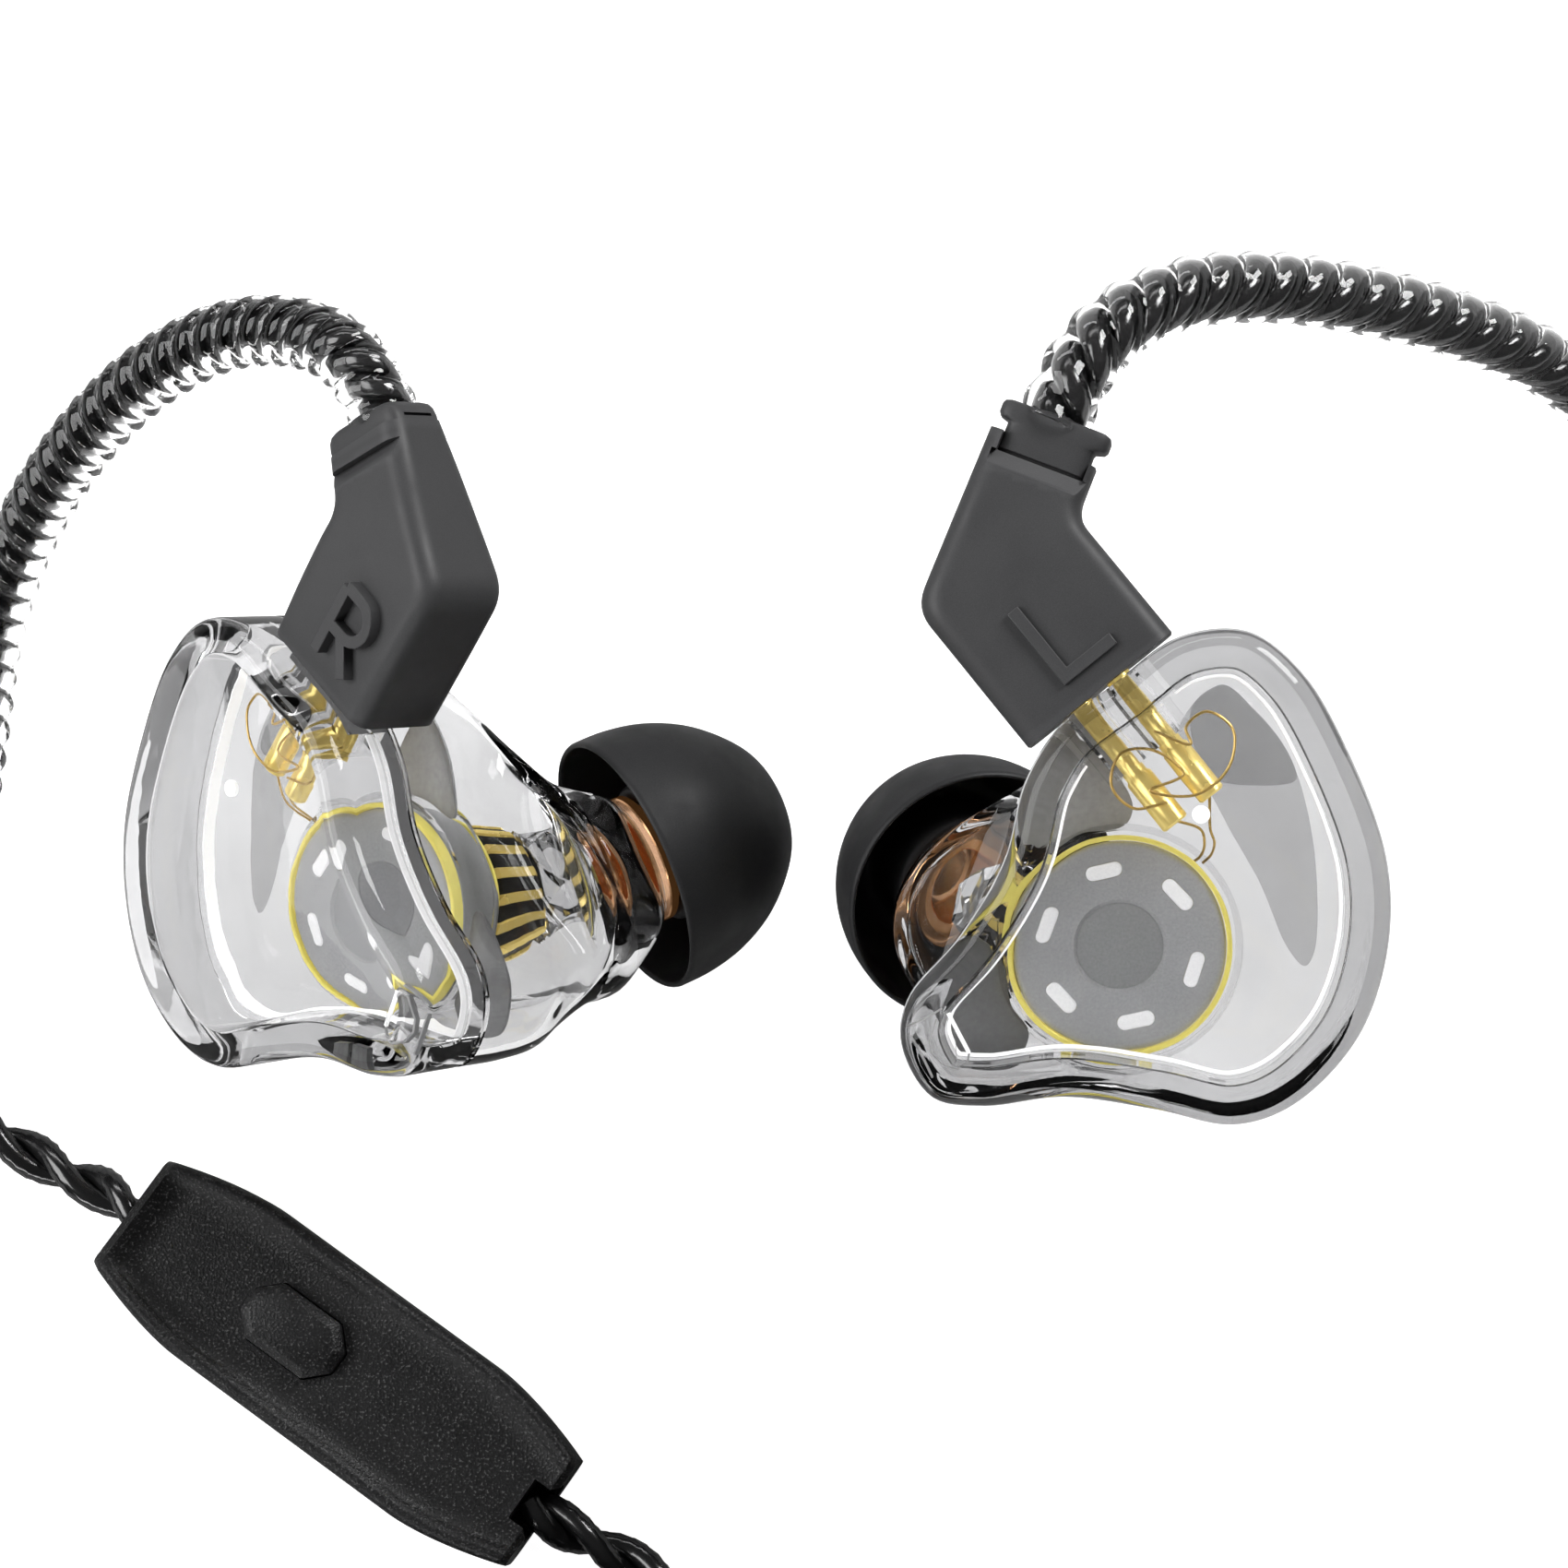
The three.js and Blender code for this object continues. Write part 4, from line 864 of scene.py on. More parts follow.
def slot_shapes(grow, low, high):
    """The six vent slots, as rounded prisms set round the back plate."""
    half = (SLOT_SIZE[0] / 2 + grow, SLOT_SIZE[1] / 2 + grow)
    corners = [(-half[0], -half[1]), (half[0], -half[1]), (half[0], half[1]), (-half[0], half[1])]
    outline = rounded_outline(corners, [half[0] * 0.95] * 4, steps=5)
    shapes = []
    for i in range(6):
        a = math.radians(SLOT_FIRST_ANGLE + 60 * i)
        turn = np.array([[math.cos(a), math.sin(a)], [-math.sin(a), math.cos(a)]])
        shapes.append(prism((outline + (SLOT_RADIUS, 0)) @ turn, low, high))
    return shapes


PIN_WINDOW = box_shape((-2.69, -6.65, -1.6), (2.69, 1.45, 1.6))  # where the socket block sits
RING_PROFILE = [
    (5.2, -0.55), (5.25, -0.6), (5.4, -0.6), (5.45, -0.55), (5.45, 0.05), (5.4, 0.1), (5.25, 0.1),
    (5.2, 0.05),
]
SEAT_PROFILE = [(5.65, -2.4), (6.0, -2.4), (6.0, -0.45), (5.95, -0.4), (5.7, -0.4), (5.65, -0.45)]
DISH_PROFILE = [(2.0, -0.14), (2.1, -0.12), (2.1, -0.1), (2.0, -0.08)]
VENT_DOT = 0.42 * circle(24) + (4.13, 6.28)
BARREL_PROFILE = [
    (0.6, -6.8), (0.7, -6.7), (0.7, -4.0), (0.58, -3.85), (0.56, -0.4), (0.52, -0.3), (0.46, -0.3),
    (0.46, -5.2),
]
PIN_PROFILE = [
    (0.2, -4.8), (0.34, -4.7), (0.39, -4.5), (0.39, -0.22), (0.56, -0.2), (0.62, -0.15), (0.62, 1.0),
    (0.39, 1.0), (0.39, 2.8),
]
LEAD_ROUTE = np.array([(4.3, 5.6, 1.4), (4.5, 4.9, 0.3), (4.3, 4.25, -0.9), (3.9, 3.9, -1.6)])
LEAD_SPREAD = 0.25
LEAD_RADIUS = 0.07
# The spare wire, looped round each socket in front of the pair
LEAD_LOOPS = np.array([(x, y, 3.1) for x, y in (
    (2.6, 6.9), (1.0, 6.7), (0.0, 7.8), (0.5, 9.3), (2.0, 9.4), (3.4, 8.2), (1.8, 7.5), (3.9, 7.2),
    (5.5, 8.4), (5.8, 10.2), (4.6, 11.1), (3.6, 10.4), (3.8, 9.6), (2.1, 10.3))])


def fine_wire(points):
    line = curve_through(points, per_span=8)
    _, side, other = frames_along(line)
    return tube(line, side, other, LEAD_RADIUS, 8)


def make_shells(add, placed):
    """The faceplate with its rim band tinted darker as painted shade, the cavity shell, and the bond between them.
    """
    window = placed(moved(PIN_WINDOW, on_pins))
    face = add("faceplate_fine", loft(faceplate_rings()), shell_clear, "shell_clear", "faceplate")
    # The rim band's faces take the darker clear: painted shade.
    face.data.materials.append(rim_painted_shade_clear)
    for polygon in face.data.polygons[2 * len(OUTLINE):11 * len(OUTLINE)]:
        polygon.material_index = 1
    both_sides = cavity_surface(0) + cavity_surface(SHELL_WALL)[::-1]
    cavity = add("cavity_fine", loft(both_sides, loop=True), shell_clear, "shell_clear", "cavity_shell")
    # The lip glows white: a painted highlight along the parting line.
    lip = add("shell_lip", loft(lip_rings(), loop=True), white_painted_glow, "shell_clear")
    gasket = add("gasket", loft(gasket_rings(), loop=True), seat_clear, "shell_clear")
    for cut in (face, cavity, lip, gasket):
        carve(cut, window)


def make_throat(add):
    """What lies between the driver's front and the nozzle."""
    add("duct", duct_shape(), duct_clear, "shell_clear", smooth=5)
    add("driver_horn", ribbed_horn(0.035), socket_gold, "gold", smooth=20)
    add("driver_horn_core", ribbed_horn(0), insulator, "driver_can", smooth=20)
    add("driver_front", lathe(FRONT_PROFILE, 64), can_grey, "driver_can")
    add("driver_front_ring", lathe(FRONT_RING, 64, loop=True), ring_gold_painted_glow, "gold")


def make_shell_details(add):
    """The snap hooks, the catch, and the plates of painted shade that show through the face."""
    add("snap_hooks", joined([notch_shape(x, y) for x, y in NOTCHES]), notch_grey, "shell_clear")
    # The catch's bright edge glows white: a painted highlight.
    add("catch_edge", prism(ribbon(CATCH_EDGE, 0.17), *CATCH_LEVELS), white_painted_glow, "shell_clear")
    catch = joined([prism(ribbon(line, 0.09), *CATCH_LEVELS) for line in CATCH_LINES])
    add("catch", catch, seam_grey, "shell_clear")
    for name, z, material, corners in PLATES:
        outline = curve_through(corners, closed=True, per_span=6)
        add(name, prism(outline, z, z + PLATE_THICKNESS), material, "shell_clear")


def make_nozzle(add, side):
    nozzle = aim_z(NOZZLE_AXIS, RIM_CENTRE)
    add("nozzle_fine", moved(lathe(NOZZLE_PROFILE, loop=True), nozzle), copper, "nozzle_copper", "nozzle")
    tip = curve_through(TIP_PROFILE, closed=True, per_span=4)
    add("ear_tip_fine", moved(lathe(tip, 96, loop=True), nozzle), tip_silicone, "tip_silicone", "ear_tip",
        rides=f"{side}_ear_tip", smooth=60)


def make_driver(add, placed):
    back = lathe([(0.01, -0.16)] + CAN_PROFILE + [(0.01, -0.6)], 96)
    can = add("driver_can_fine", back, can_grey, "driver_can", "driver_can")
    carve(can, *[placed(shape) for shape in slot_shapes(0, -1, 1)])
    add("driver_dish", lathe(DISH_PROFILE), dish_grey, "driver_can")
    vents = add("driver_vents", joined(slot_shapes(-0.03, -0.4, 0.06)), vent_white_painted_glow, "mesh_steel")
    soften(vents, 0.1, segments=3)
    add("driver_ring_fine", lathe(RING_PROFILE, 96, loop=True), ring_gold_painted_glow, "gold", "driver_ring")
    # The seat round the driver ring, a faint grey clear ring that also stands as painted shadow round the ring.
    add("driver_seat", lathe(SEAT_PROFILE, 96, loop=True), seat_clear, "shell_clear")
    # The vent dot is white and glows: painted glow.
    add("vent_dot", prism(VENT_DOT, 5.6, 5.82), white_painted_glow, "shell_clear")


def make_contacts(add):
    """The sockets with the connector's pins in them, and the leads to the driver."""
    for letter, x in (("a", -PIN_SPACING / 2), ("b", PIN_SPACING / 2)):
        add(f"socket_{letter}_fine", along_pin(x, BARREL_PROFILE), socket_gold, "gold", f"socket_{letter}")
        add(f"pin_{letter}_fine", along_pin(x, PIN_PROFILE), socket_gold, "gold", f"pin_{letter}",
            rides="cable")
    leads = [fine_wire(np.vstack([on_pins(np.array([(x, -6.7, 0)])), LEAD_ROUTE + (x * LEAD_SPREAD, 0, 0)]))
             for x in (-1, 1)]
    add("leads", joined(leads), lead_enamel, "flex_lead", "flex_lead")
    add("lead_loops", fine_wire(LEAD_LOOPS), lead_enamel, "flex_lead")


def make_earpiece(side, placed):
    def add(name, shape, material, slot, *nodes, rides=f"{side}_earpiece", smooth=40):
        nodes = [f"{side}_{node}" for node in nodes]
        return make_part(f"{side}_{name}", placed(shape), material, rides, slot, *nodes, smooth=smooth)

    make_shells(add, placed)
    make_throat(add)
    make_shell_details(add)
    make_nozzle(add, side)
    make_driver(add, placed)
    make_contacts(add)


# ------------------------------------------------------------------ connector hoods

HOOD_THICKNESS = 5.5
NECK_FROM = 14.0
NECK_THINNING = 0.0035  # per mm squared beyond there
HOOD_EDGE = 0.95
HOOD_TRIM = {"left": 0.4, "right": -0.2}  # how far the open end reaches past its usual width
NECK_MIDDLE = np.array((-2.22, 22.55))  # where the neck's front edge ends, in the earpiece's frame
NECK_ACROSS = unit((0.915, -0.403))
NECK_AHEAD = unit((0.403, 0.915))
LETTER_HEIGHT = 3.9
LETTER_STROKE = 0.62


def rail(corners, radius, count):
    """Even points along a bent line whose one corner is an arc."""
    a, b, c = (np.array(p, float) for p in corners)
    back, on = unit(a - b), unit(c - b)
    half = math.acos(back @ on) / 2
    reach = radius / math.tan(half)
    t = np.linspace(0, 1, 13)[:, None]
    bend = (1 - t) ** 2 * (b + reach * back) + 2 * t * (1 - t) * b + t**2 * (b + reach * on)
    return evenly(np.vstack([a, bend, c]), count)


def rounded_section(left, right, half, edge):
    """A rounded rectangle standing on the line from left to right, half thick each way."""
    width = np.linalg.norm(right - left)
    across = (right - left) / width
    edge = min(edge, 0.95 * half)
    corners = [(0, -half), (width, -half), (width, half), (0, half)]
    outline = rounded_outline(corners, [edge] * 4, steps=7)
    outline = evenly(outline, 96, closed=True)
    z = PIN_MIDDLE[2] + outline[:, 1]
    return np.column_stack([left + outline[:, :1] * across, z])


def on_neck(u, v):
    return NECK_MIDDLE + u * NECK_ACROSS + v * NECK_AHEAD


def hood_shape(side):
    """Sections carried up two rails: the bulged side and the bent side."""
    trim = HOOD_TRIM[side] * PIN_ACROSS[:2]
    left = rail([(-3.65, 9.66), (-8.6, 16.34), on_neck(-3.2, 0.95)], 1.9, 60)
    right = rail([(2.85, 14.46) + trim, (-1.0, 20.3), on_neck(2.05, 0.85)], 1.6, 60)
    rings = []
    for a, b in zip(left, right):
        thinning = NECK_THINNING * max(0, (a[1] + b[1]) / 2 - NECK_FROM) ** 2
        rings.append(rounded_section(a, b, HOOD_THICKNESS / 2 * (1 - thinning), HOOD_EDGE))
    return loft(rings)


def from_neck(points):
    """From the neck's frame, u across and v ahead, to the earpiece's."""
    flat = NECK_MIDDLE + points[:, :1] * NECK_ACROSS + points[:, 1:2] * NECK_AHEAD
    return np.column_stack([flat, points[:, 2]])


NECK_OPENING = box_shape((-2.52, 0, -3), (1.74, 4, 8))
COLLAR_SLIT = box_shape((-3.5, 1.1, 1.2), (-2.95, 1.26, 3.0))
BEVEL_PROFILE = [(-0.78, 2.02), (0.02, 1.5), (0.02, 4), (-0.78, 4)]
BEVEL_REACHES = {"left": 2.75, "right": 3.2}


def neck_tools(side):
    """What the hood leaves open for the inner collar, and the two bevels before it."""
    tools = [NECK_OPENING] if side == "left" else []
    reach = BEVEL_REACHES[side]
    for turn in (1, -1):
        tools.append(loft([np.array([(u, v, PIN_MIDDLE[2] + turn * z) for v, z in BEVEL_PROFILE])
                           for u in (-reach, reach)]))
    return [moved(tool, from_neck) for tool in tools]


# Distance along the neck, half width and half depth of the inner moulding: the left one has a groove
# before it and bumps at the sides of its end, and the right one is seen along its flush side
COLLARS = {
    "left": [(-0.6, 2.16, 1.2), (0.12, 2.16, 1.2), (0.2, 2.16, 1.42), (1.35, 2.14, 1.42), (1.5, 2.2, 1.42),
             (1.62, 2.6, 1.42), (1.78, 2.7, 1.42), (2.2, 2.7, 1.42), (2.36, 2.62, 1.38), (2.45, 2.4, 1.25)],
    "right": [(-0.6, 2.5, 1.3), (0.12, 2.5, 1.3), (0.22, 2.6, 1.62), (1.2, 2.6, 1.66), (1.6, 2.52, 1.64),
              (1.85, 2.38, 1.56), (2.0, 2.15, 1.42), (2.06, 1.9, 1.25)],
}
COLLAR_MIDDLES = {"left": -0.4, "right": -0.59}


def collar_shape(side):
    """The inner moulding: a flat-sided neck that ends in a flange."""
    u, w = squarish(96, 0.32).T
    rings = [np.column_stack([COLLAR_MIDDLES[side] + a * u, np.full(96, v), PIN_MIDDLE[2] + b * w])
             for v, a, b in COLLARS[side]]
    return moved(loft(rings), from_neck)


def ribbon(points, width):
    """The outline of a stroke of even width along a polyline."""
    line = np.array(points, float)
    ahead = units(np.gradient(line, axis=0))
    steps = units(np.diff(line, axis=0))
    sides = np.column_stack([-ahead[:, 1], ahead[:, 0]])
    for i in range(1, len(line) - 1):
        bisector = unit(steps[i - 1] + steps[i])
        sides[i] = np.array((-bisector[1], bisector[0])) / max(0.3, bisector @ steps[i])
    return np.vstack([line + sides * width / 2, (line - sides * width / 2)[::-1]])


def letter_strokes(side):
    """The plain channel letter, in its own frame: u to its right, v up."""
    h = LETTER_HEIGHT
    if side == "left":
        return [[(0, h), (0, 0), (2.8, 0)]]
    bowl = [(1.15 + 1.15 * math.cos(a), 0.72 * h + 0.28 * h * math.sin(a))
            for a in np.linspace(math.pi / 2, -math.pi / 2, 12)]
    return [[(0, 0), (0, h)], [(0, h), *bowl, (0, 0.44 * h)], [(1.0, 0.44 * h), (2.3, 0)]]


LETTER_CORNERS = {"left": (-1.75, 12.85), "right": (-1.15, 13.45)}
LETTER_RELIEF = {"left": 0.25, "right": 0.6}
LETTER_STEP = 0.004  # lower for each stroke, so that their tops don't coincide


def letter_shape(side):
    right = PIN_ACROSS[:2] if side == "left" else -PIN_ACROSS[:2]
    front = PIN_MIDDLE[2] + HOOD_THICKNESS / 2
    shapes = []
    for k, points in enumerate(letter_strokes(side)):
        outline = ribbon(points, LETTER_STROKE)
        laid = np.array(LETTER_CORNERS[side]) + outline[:, :1] * right + outline[:, 1:] * PIN_AXIS[:2]
        shapes.append(prism(laid, front - 0.2, front + LETTER_RELIEF[side] - LETTER_STEP * k))
    return joined(shapes)


def make_hood(side, placed):
    def add(name, shape, *nodes):
        return make_part(f"{side}_{name}", placed(shape), hood_plastic, "cable", "hood_plastic", *nodes)

    hood = add("hood", hood_shape(side), f"{side}_connector_hood")
    carve(hood, *[placed(tool) for tool in neck_tools(side)])
    soften(hood, 0.06, angle=45)
    collar = add("collar", collar_shape(side), f"{side}_strain_relief")
    if side == "right":
        carve(collar, placed(moved(COLLAR_SLIT, from_neck)))
    soften(add("letter", letter_shape(side)), 0.05)


# ------------------------------------------------------------------ ear hooks

HOOK_PITCHES = {"left": -4.1, "right": -3.0}  # negative: the strands wind the other way from the cable's
SLEEVE_GROOVE = 1.42  # radius in the grooves between the strands
SLEEVE_RIDGE = 0.36  # how far the ridges over the strands stand above them
HOOK_STRAND_RADIUS = 0.56
HOOK_STRAND_OFFSET = 0.54
HOOK_PAIR_SHIFTS = {"left": -0.12, "right": 0.28}  # how far the pair lies towards the outside of the bend
HOOK_STEP = 0.25
INTO_COLLAR = 1.4  # how far the hook starts inside the connector's collar


def sleeve_shape(line, pitch, sides=40):
    """Clear plastic moulded onto a twisted pair, with a ridge over each strand."""
    _, side, other = frames_along(line)
    around = turns(sides)
    rings = []
    for centre, run, s, o in zip(line, distances(line), side, other):
        radius = SLEEVE_GROOVE + SLEEVE_RIDGE * np.abs(np.cos(around - 2 * math.pi * run / pitch))
        rings.append(centre + radius[:, None] * (np.cos(around)[:, None] * s + np.sin(around)[:, None] * o))
    return loft(rings)


def make_hook(side, route):
    route = np.array(route, float)
    route[0] = route[0] - INTO_COLLAR * unit(route[1] - route[0])
    line = curve_through(route + CENTRING)
    line = evenly(line, round(length_of(line) / HOOK_STEP))
    ahead = frames_along(line)[0]
    outwards = line - (line[0] + line[-1]) / 2
    outwards = units(outwards - ahead * (outwards * ahead).sum(axis=1, keepdims=True))
    shift = HOOK_PAIR_SHIFTS[side] * outwards
    pitch = HOOK_PITCHES[side]
    make_part(f"{side}_hook_sleeve", sleeve_shape(line, pitch), sleeve_clear, "cable", "sleeve_clear",
              f"{side}_ear_hook", smooth=70)
    pair = twisted_pair(line + shift, pitch, HOOK_STRAND_OFFSET, HOOK_STRAND_RADIUS, sides=14)
    make_part(f"{side}_hook_cable", pair, cord_jacket, "cable", "cord_jacket", smooth=60)


for hand in ("left", "right"):
    place = ear_place(hand)

    def placed(shape):
        return moved(shape, place)

    make_earpiece(hand, placed)
    make_hood(hand, placed)
make_hook("left", LEFT_HOOK)
make_hook("right", RIGHT_HOOK)


# ------------------------------------------------------------------ remote

REMOTE_HALF = REMOTE_LENGTH / 2
REMOTE_SPLIT = 2.4
SPLIT_GAP = 0.06  # from the split to each housing
BUTTON_AT = -2.6
BUTTON_LEVELS = [(0.0, 3.4), (0.0, 5.62), (-0.42, 5.98), (-0.48, 6.0)]  # how much the outline grows, height
NOTCH_DEPTH = 1.3
# Start, radius and height
NOTCHES_AT_ENDS = [(-REMOTE_HALF - 1, 1.6, 3.0), (REMOTE_HALF - NOTCH_DEPTH, 1.8, 3.7)]
INTO_NOTCH = 1.1  # how far the cables reach into the notches at the remote's ends
REMOTE_SLANTS = (0.5, 0.35)  # how far in from the upper and lower ends the top slopes down
FACE_DEPTH = 0.5  # how far the face is sunk between the rims


def remote_place(points):
    along = unit((middle_of("remote_microphone") - middle_of("remote_switch")) * (1, 1, 0))
    across = np.array((-along[1], along[0], 0))
    origin = np.array(frame["record"]["mounts"][0]["pos_m"]) / MM
    return origin + points @ np.array([along, across, (0, 0, 1)])


def remote_half_width(x):
    """Widest in the middle, drawn in towards both ends."""
    share = np.clip((abs(x) - 7.0) / (REMOTE_HALF - 7.0), 0, 1)
    return 4.6 - 1.35 * share**1.6


def remote_section(x, half, count):
    """A section at x from the outline of its one half: mirrored, and joined across at both ends."""
    flip = np.array((-1, 1))
    ring = np.vstack([half, np.linspace(half[-1], half[-1] * flip, count)[1:-1], half[::-1] * flip,
                      np.linspace(half[0] * flip, half[0], 9)[1:-1]])
    return np.column_stack([np.full(len(ring), x), ring])


def remote_top_shape():
    """Sections from end to end: narrow rims along both sides with a sunk face between, and slanted ends."""
    upper, lower = (REMOTE_HALF - slant for slant in REMOTE_SLANTS)
    stations = np.concatenate([np.linspace(-REMOTE_HALF, -upper, 6),
                               np.linspace(-upper + 0.15, lower - 0.15, 49),
                               np.linspace(lower, REMOTE_HALF, 6)])
    rings = []
    for x in stations:
        sunk = FACE_DEPTH * np.clip(x + upper, 0, 1)
        half = np.array([(0, REMOTE_SPLIT + SPLIT_GAP), (0, 3.2), (0, 4.95), (0.06, 5.25), (0.22, 5.5),
                         (0.45, 5.6), (0.7, 5.55), (0.95, 5.6 - sunk * 0.6), (1.25, 5.58 - sunk),
                         (2.2, 5.55 - sunk)])
        half[:, 0] -= remote_half_width(x)
        half[2:, 1] -= max(0, x - lower, -upper - x) * 1.15
        rings.append(remote_section(x, half, 7))
    return loft(rings)


def remote_bottom_shape():
    bend = REMOTE_HALF - 0.8
    rings = []
    for x in np.concatenate([np.linspace(-REMOTE_HALF, -bend, 4), np.linspace(-12, 12, 49),
                             np.linspace(bend, REMOTE_HALF, 4)]):
        half = np.array([(0, REMOTE_SPLIT - SPLIT_GAP), (0, 1.6), (0.02, 1.0), (0.2, 0.45), (0.55, 0.12),
                         (1.0, 0)])
        half[:, 0] -= remote_half_width(x) - 0.02
        half[2:, 1] += max(0, abs(x) - bend) * 0.8 * (1 - half[2:, 1] / REMOTE_SPLIT)
        rings.append(remote_section(x, half, 9))
    return loft(rings)


def octagon(length, width, corner):
    l, w = length / 2, width / 2
    return np.array([(-l, -w + corner), (-l + corner, -w), (l - corner, -w), (l, -w + corner),
                     (l, w - corner), (l - corner, w), (-l + corner, w), (-l, w - corner)])


def button_outline(grow):
    corners = octagon(5.8 + 2 * grow, 3.4 + 2 * grow, 1.1 + 0.586 * grow) + (BUTTON_AT, 0)
    return rounded_outline(corners, [0.25] * 8, steps=4)


def make_remote():
    def add(name, shape, body, node, smooth=40):
        shape = moved(shape, remote_place)
        return make_part(name, shape, remote_plastic, body, "remote_plastic", node, smooth=smooth)

    top = add("remote_top_fine", remote_top_shape(), "cable", "remote_housing_top")
    bottom = add("remote_bottom_fine", remote_bottom_shape(), "cable", "remote_housing_bottom")
    tools = []
    for start, radius, height in NOTCHES_AT_ENDS:
        notch = lathe([(radius, start), (radius, start + 1 + NOTCH_DEPTH)], 32)
        tools.append(moved(notch, aim_z((1, 0, 0), (0, 0, height))))
    tools.append(prism(octagon(23.0, 6.4, 1.4), 0.8, 4.3))
    hole = prism(button_outline(0.08), 3, 7)
    carve(top, *[moved(tool, remote_place) for tool in (*tools, hole)])
    carve(bottom, *[moved(tool, remote_place) for tool in tools])
    soften(top, 0.08, angle=50)
    soften(bottom, 0.08, angle=50)
    cap = [np.column_stack([button_outline(grow), np.full(32, z)]) for grow, z in BUTTON_LEVELS]
    foot = prism(button_outline(0.6), 3.35, 3.75)
    add("remote_button_fine", joined([loft(cap), foot]), "remote_button", "remote_button", smooth=25)


make_remote()


# ------------------------------------------------------------------ splitter, tie and plug

SPLITTER_HEIGHT = 3.45
# Share of the length, and share of the full section there
SPLITTER_STATIONS = [
    (0, 0.72), (0.04, 0.86), (0.1, 0.95), (0.2, 1.0), (0.48, 1.0), (0.5, 0.93), (0.52, 0.93), (0.54, 1.0),
    (0.8, 1.0), (0.9, 0.95), (0.96, 0.86), (1, 0.72),
]
TIE_THICKNESS = 0.5
TIE_HALF_WIDTH = 2.4


def make_splitter():
    """A slim rounded barrel where the two branches, one above the other, join the main cable."""
    centre = np.array(on_coil(SPLITTER_ANGLE, SPLITTER_RADIUS, SPLITTER_HEIGHT)) + CENTRING
    section = squarish(64, 0.6) * (2.15, 2.6)
    rings = [np.column_stack([np.full(64, (at - 0.5) * SPLITTER_LENGTH), size * section])
             for at, size in SPLITTER_STATIONS]
    a = math.radians(SPLITTER_ANGLE - 90)
    turn_in_plan = np.array([[math.cos(a), math.sin(a), 0], [-math.sin(a), math.cos(a), 0], [0, 0, 1]])
    shape = moved(loft(rings), lambda points: points @ turn_in_plan + centre)
    return make_part("splitter_fine", shape, plug_plastic, "cable", "plug_plastic", "cable_splitter")


def make_tie():
    """A hook-and-loop strap round the turns, with its free end lapped over on top."""
    low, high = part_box("coil_tie")
    x0, x1 = low.x / MM, high.x / MM
    z0, z1 = low.z / MM, high.z / MM
    y = (low.y + high.y) / 2 / MM

    def outline(t):
        corners = [(x0 + t, z0 + t), (x1 - t, z0 + t), (x1 - t, z1 - t), (x0 + t, z1 - t)]
        return rounded_outline(corners, [1.3 - t] * 4, steps=8)

    rings = []
    for t, side in ((TIE_THICKNESS, 1), (TIE_THICKNESS, -1), (0, -1), (0, 1)):
        x, z = outline(t).T
        rings.append(np.column_stack([x, np.full(len(x), y + side * TIE_HALF_WIDTH), z]))
    lap = box_shape((x0 + 6, y - 2.2, z1 + 0.02), (x0 + 14, y + 2.2, z1 + 0.5))
    strap = joined([loft(rings, loop=True), lap])
    tie = make_part("tie_fine", strap, strap_weave, "cable", "tie_strap", "coil_tie")
    soften(tie, 0.12)
    return tie


PLUG_BODY = [
    (2.5, 8.3), (2.85, 8.5), (3.0, 9.0), (3.0, 12.0), (2.88, 12.15), (2.88, 12.6), (3.0, 12.75), (3.0, 21.8),
    (2.8, 22.8), (2.4, 23.3),
]
JACK_START = 23.6
JACK_CONTACTS = [("jack_sleeve", 0.15, 4.4), ("jack_ring_2", 5.35, 2.0), ("jack_ring_1", 8.15, 2.0)]
JACK_TIP = [
    (1.65, 0), (1.74, 0.1), (1.7, 0.4), (1.42, 1.1), (1.42, 1.3), (1.7, 2.0), (1.68, 2.3), (1.2, 2.55),
    (0.5, 2.75), (0.2, 2.79),
]


def relief_profile():
    profile = [(1.35, 0), (1.6, 0.15), (1.7, 0.5)]
    for i in range(6):
        z = 1.2 + i * 1.1
        size = 1.75 + 0.1 * i
        profile += [(size, z), (size - 0.3, z + 0.15), (size - 0.3, z + 0.45), (size + 0.05, z + 0.6)]
    return profile + [(2.4, 8.0)]


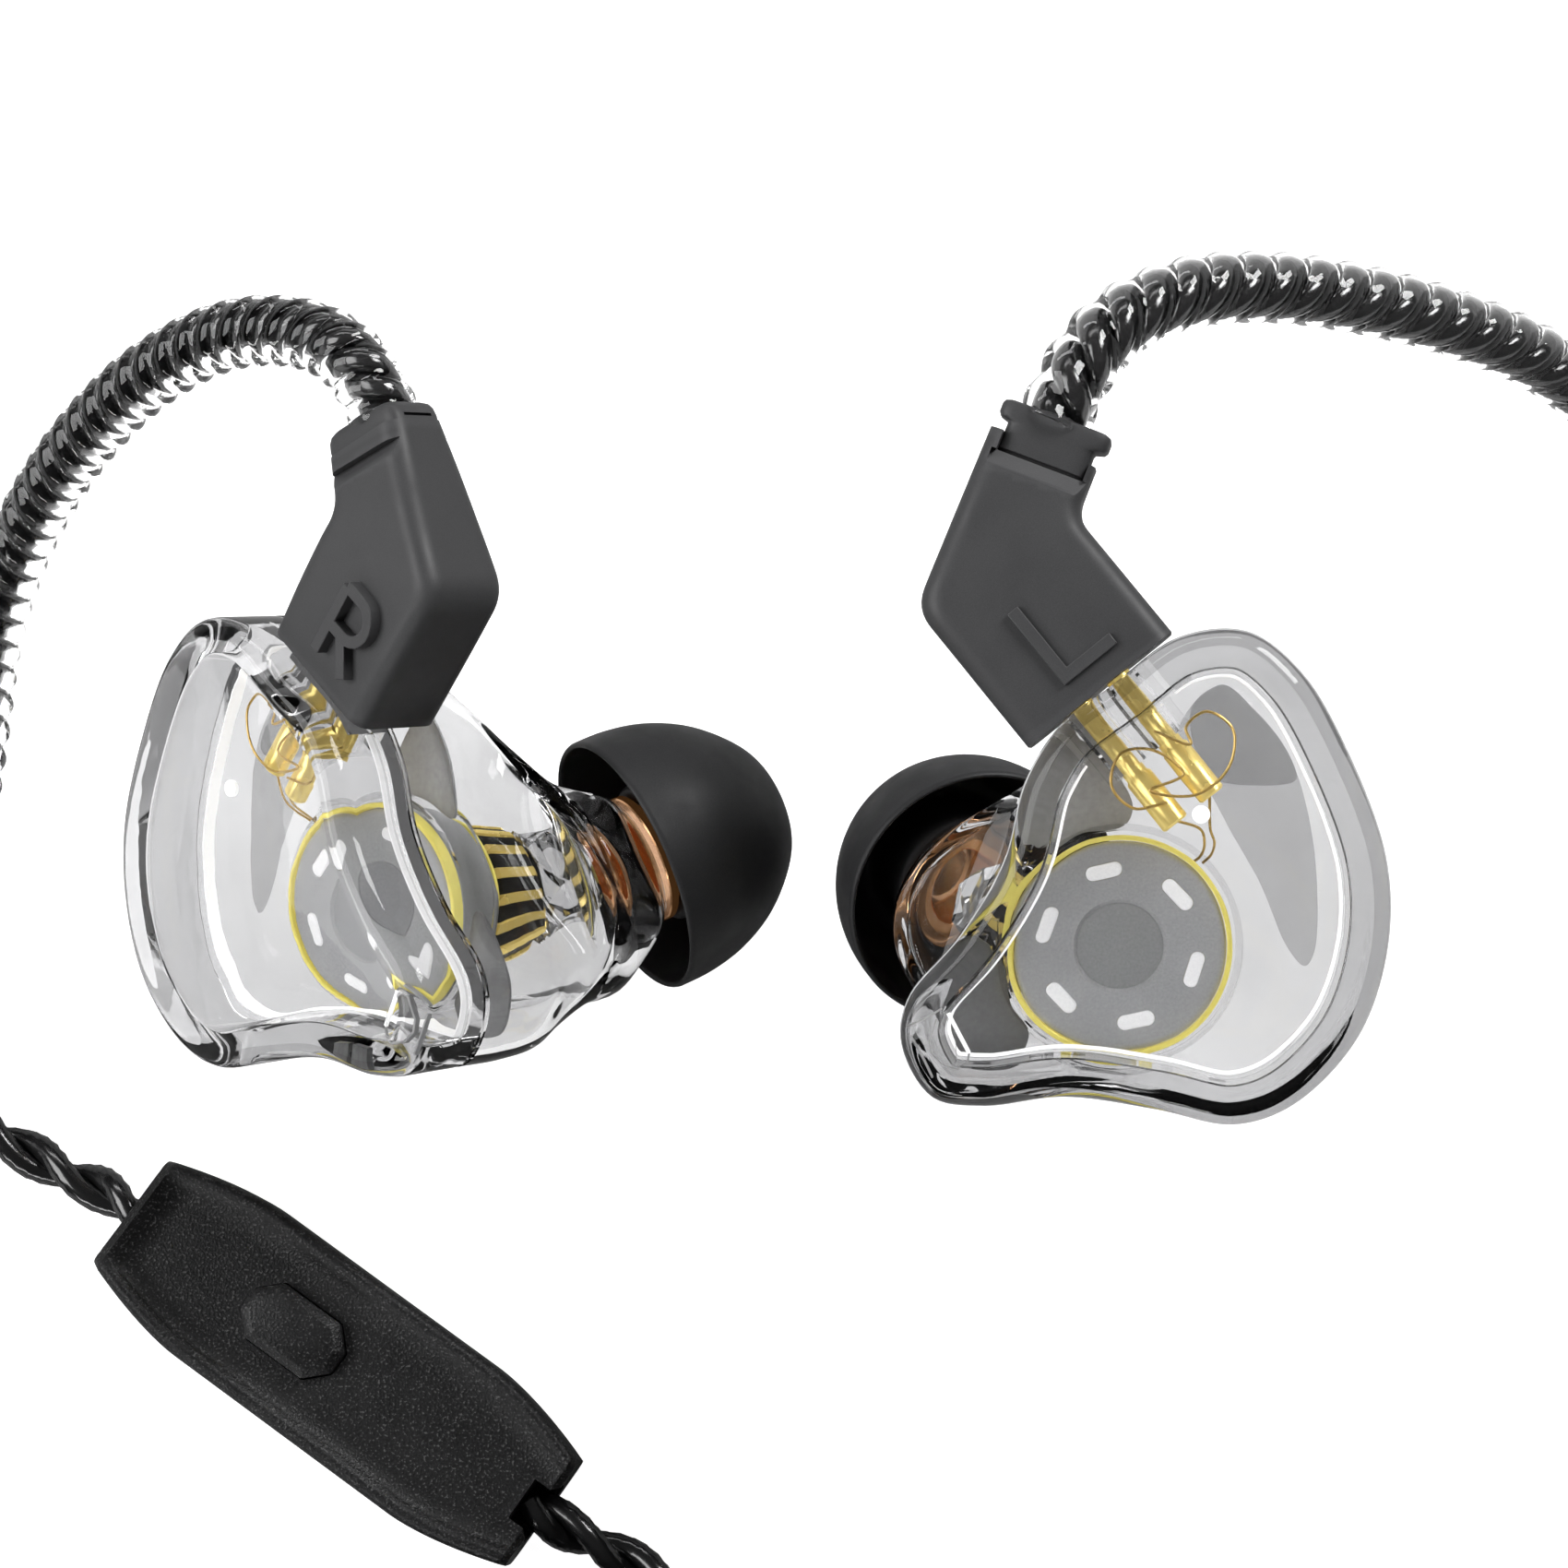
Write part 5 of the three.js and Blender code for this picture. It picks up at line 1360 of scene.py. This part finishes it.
def make_plug():
    """The strain relief, body and four-contact jack, in line along +y."""
    place = aim_z((0, 1, 0), np.array(PLUG_AT) + CENTRING)
    made = []

    def add(name, profile, material, slot, node, loop=False):
        shape = moved(lathe(profile, 48, loop), place)
        made.append(make_part(name, shape, material, "cable", slot, node))

    add("plug_relief_fine", relief_profile(), plug_plastic, "plug_plastic", "plug_strain_relief")
    add("plug_body_fine", PLUG_BODY, plug_plastic, "plug_plastic", "plug_body")
    core = [(0.95, JACK_START), (1.0, JACK_START + 0.05)]
    for name, start, long in JACK_CONTACTS:
        low = JACK_START + start
        high = low + long
        ring = [(1.2, low + 0.05), (1.25, low), (1.68, low), (1.75, low + 0.07), (1.75, high - 0.07),
                (1.68, high), (1.25, high), (1.2, high - 0.05)]
        add(name + "_fine", ring, gold, "gold", name, loop=True)
        core += [(1.0, high + 0.15), (1.7, high + 0.15), (1.7, high + 0.65), (1.0, high + 0.65)]
    core += [(1.0, JACK_START + 11.0), (0.9, JACK_START + 11.05)]
    add("jack_core_fine", core, insulator, "jack_insulator", "jack_core")
    tip = [(radius, JACK_START + 11.2 + z) for radius, z in JACK_TIP]
    add("jack_tip_fine", tip, gold, "gold", "jack_tip")
    return made


splitter = make_splitter()
tie = make_tie()
plug = make_plug()

make_cable("right_upper_pair", RIGHT_UPPER + [remote_end(-1, -INTO_NOTCH, 3.0)], ["right_upper_cable"])
make_cable("right_lower_pair", [remote_end(1, -INTO_NOTCH, 3.0)] + RIGHT_LOWER, ["right_lower_cable"])
make_cable("left_branch_pair", LEFT_BRANCH, ["left_branch_cable"])
make_cable("main_pair", MAIN_START + coil_turns() + MAIN_TAIL,
           ["main_cable_start", "main_cable_coil", "main_cable_tail"])


# ------------------------------------------------------------------ CAD nodes that keep their shape

def finish_node(node, material, rounding=0):
    obj = frame["nodes"][node]
    obj.data.materials.clear()
    obj.data.materials.append(material)
    if rounding:
        soften(obj, rounding)


for hand in ("left", "right"):
    finish_node(f"{hand}_socket_block", holder_clear, 0.15)
    finish_node(f"{hand}_nozzle_mesh", steel, 0.03)
    finish_node(f"{hand}_driver_magnet", steel, 0.1)
    finish_node(f"{hand}_driver_voice_coil", coil_copper)
    finish_node(f"{hand}_driver_diaphragm", film)
finish_node("remote_board", board_green, 0.05)
finish_node("remote_switch", steel, 0.1)
finish_node("remote_microphone", steel, 0.1)
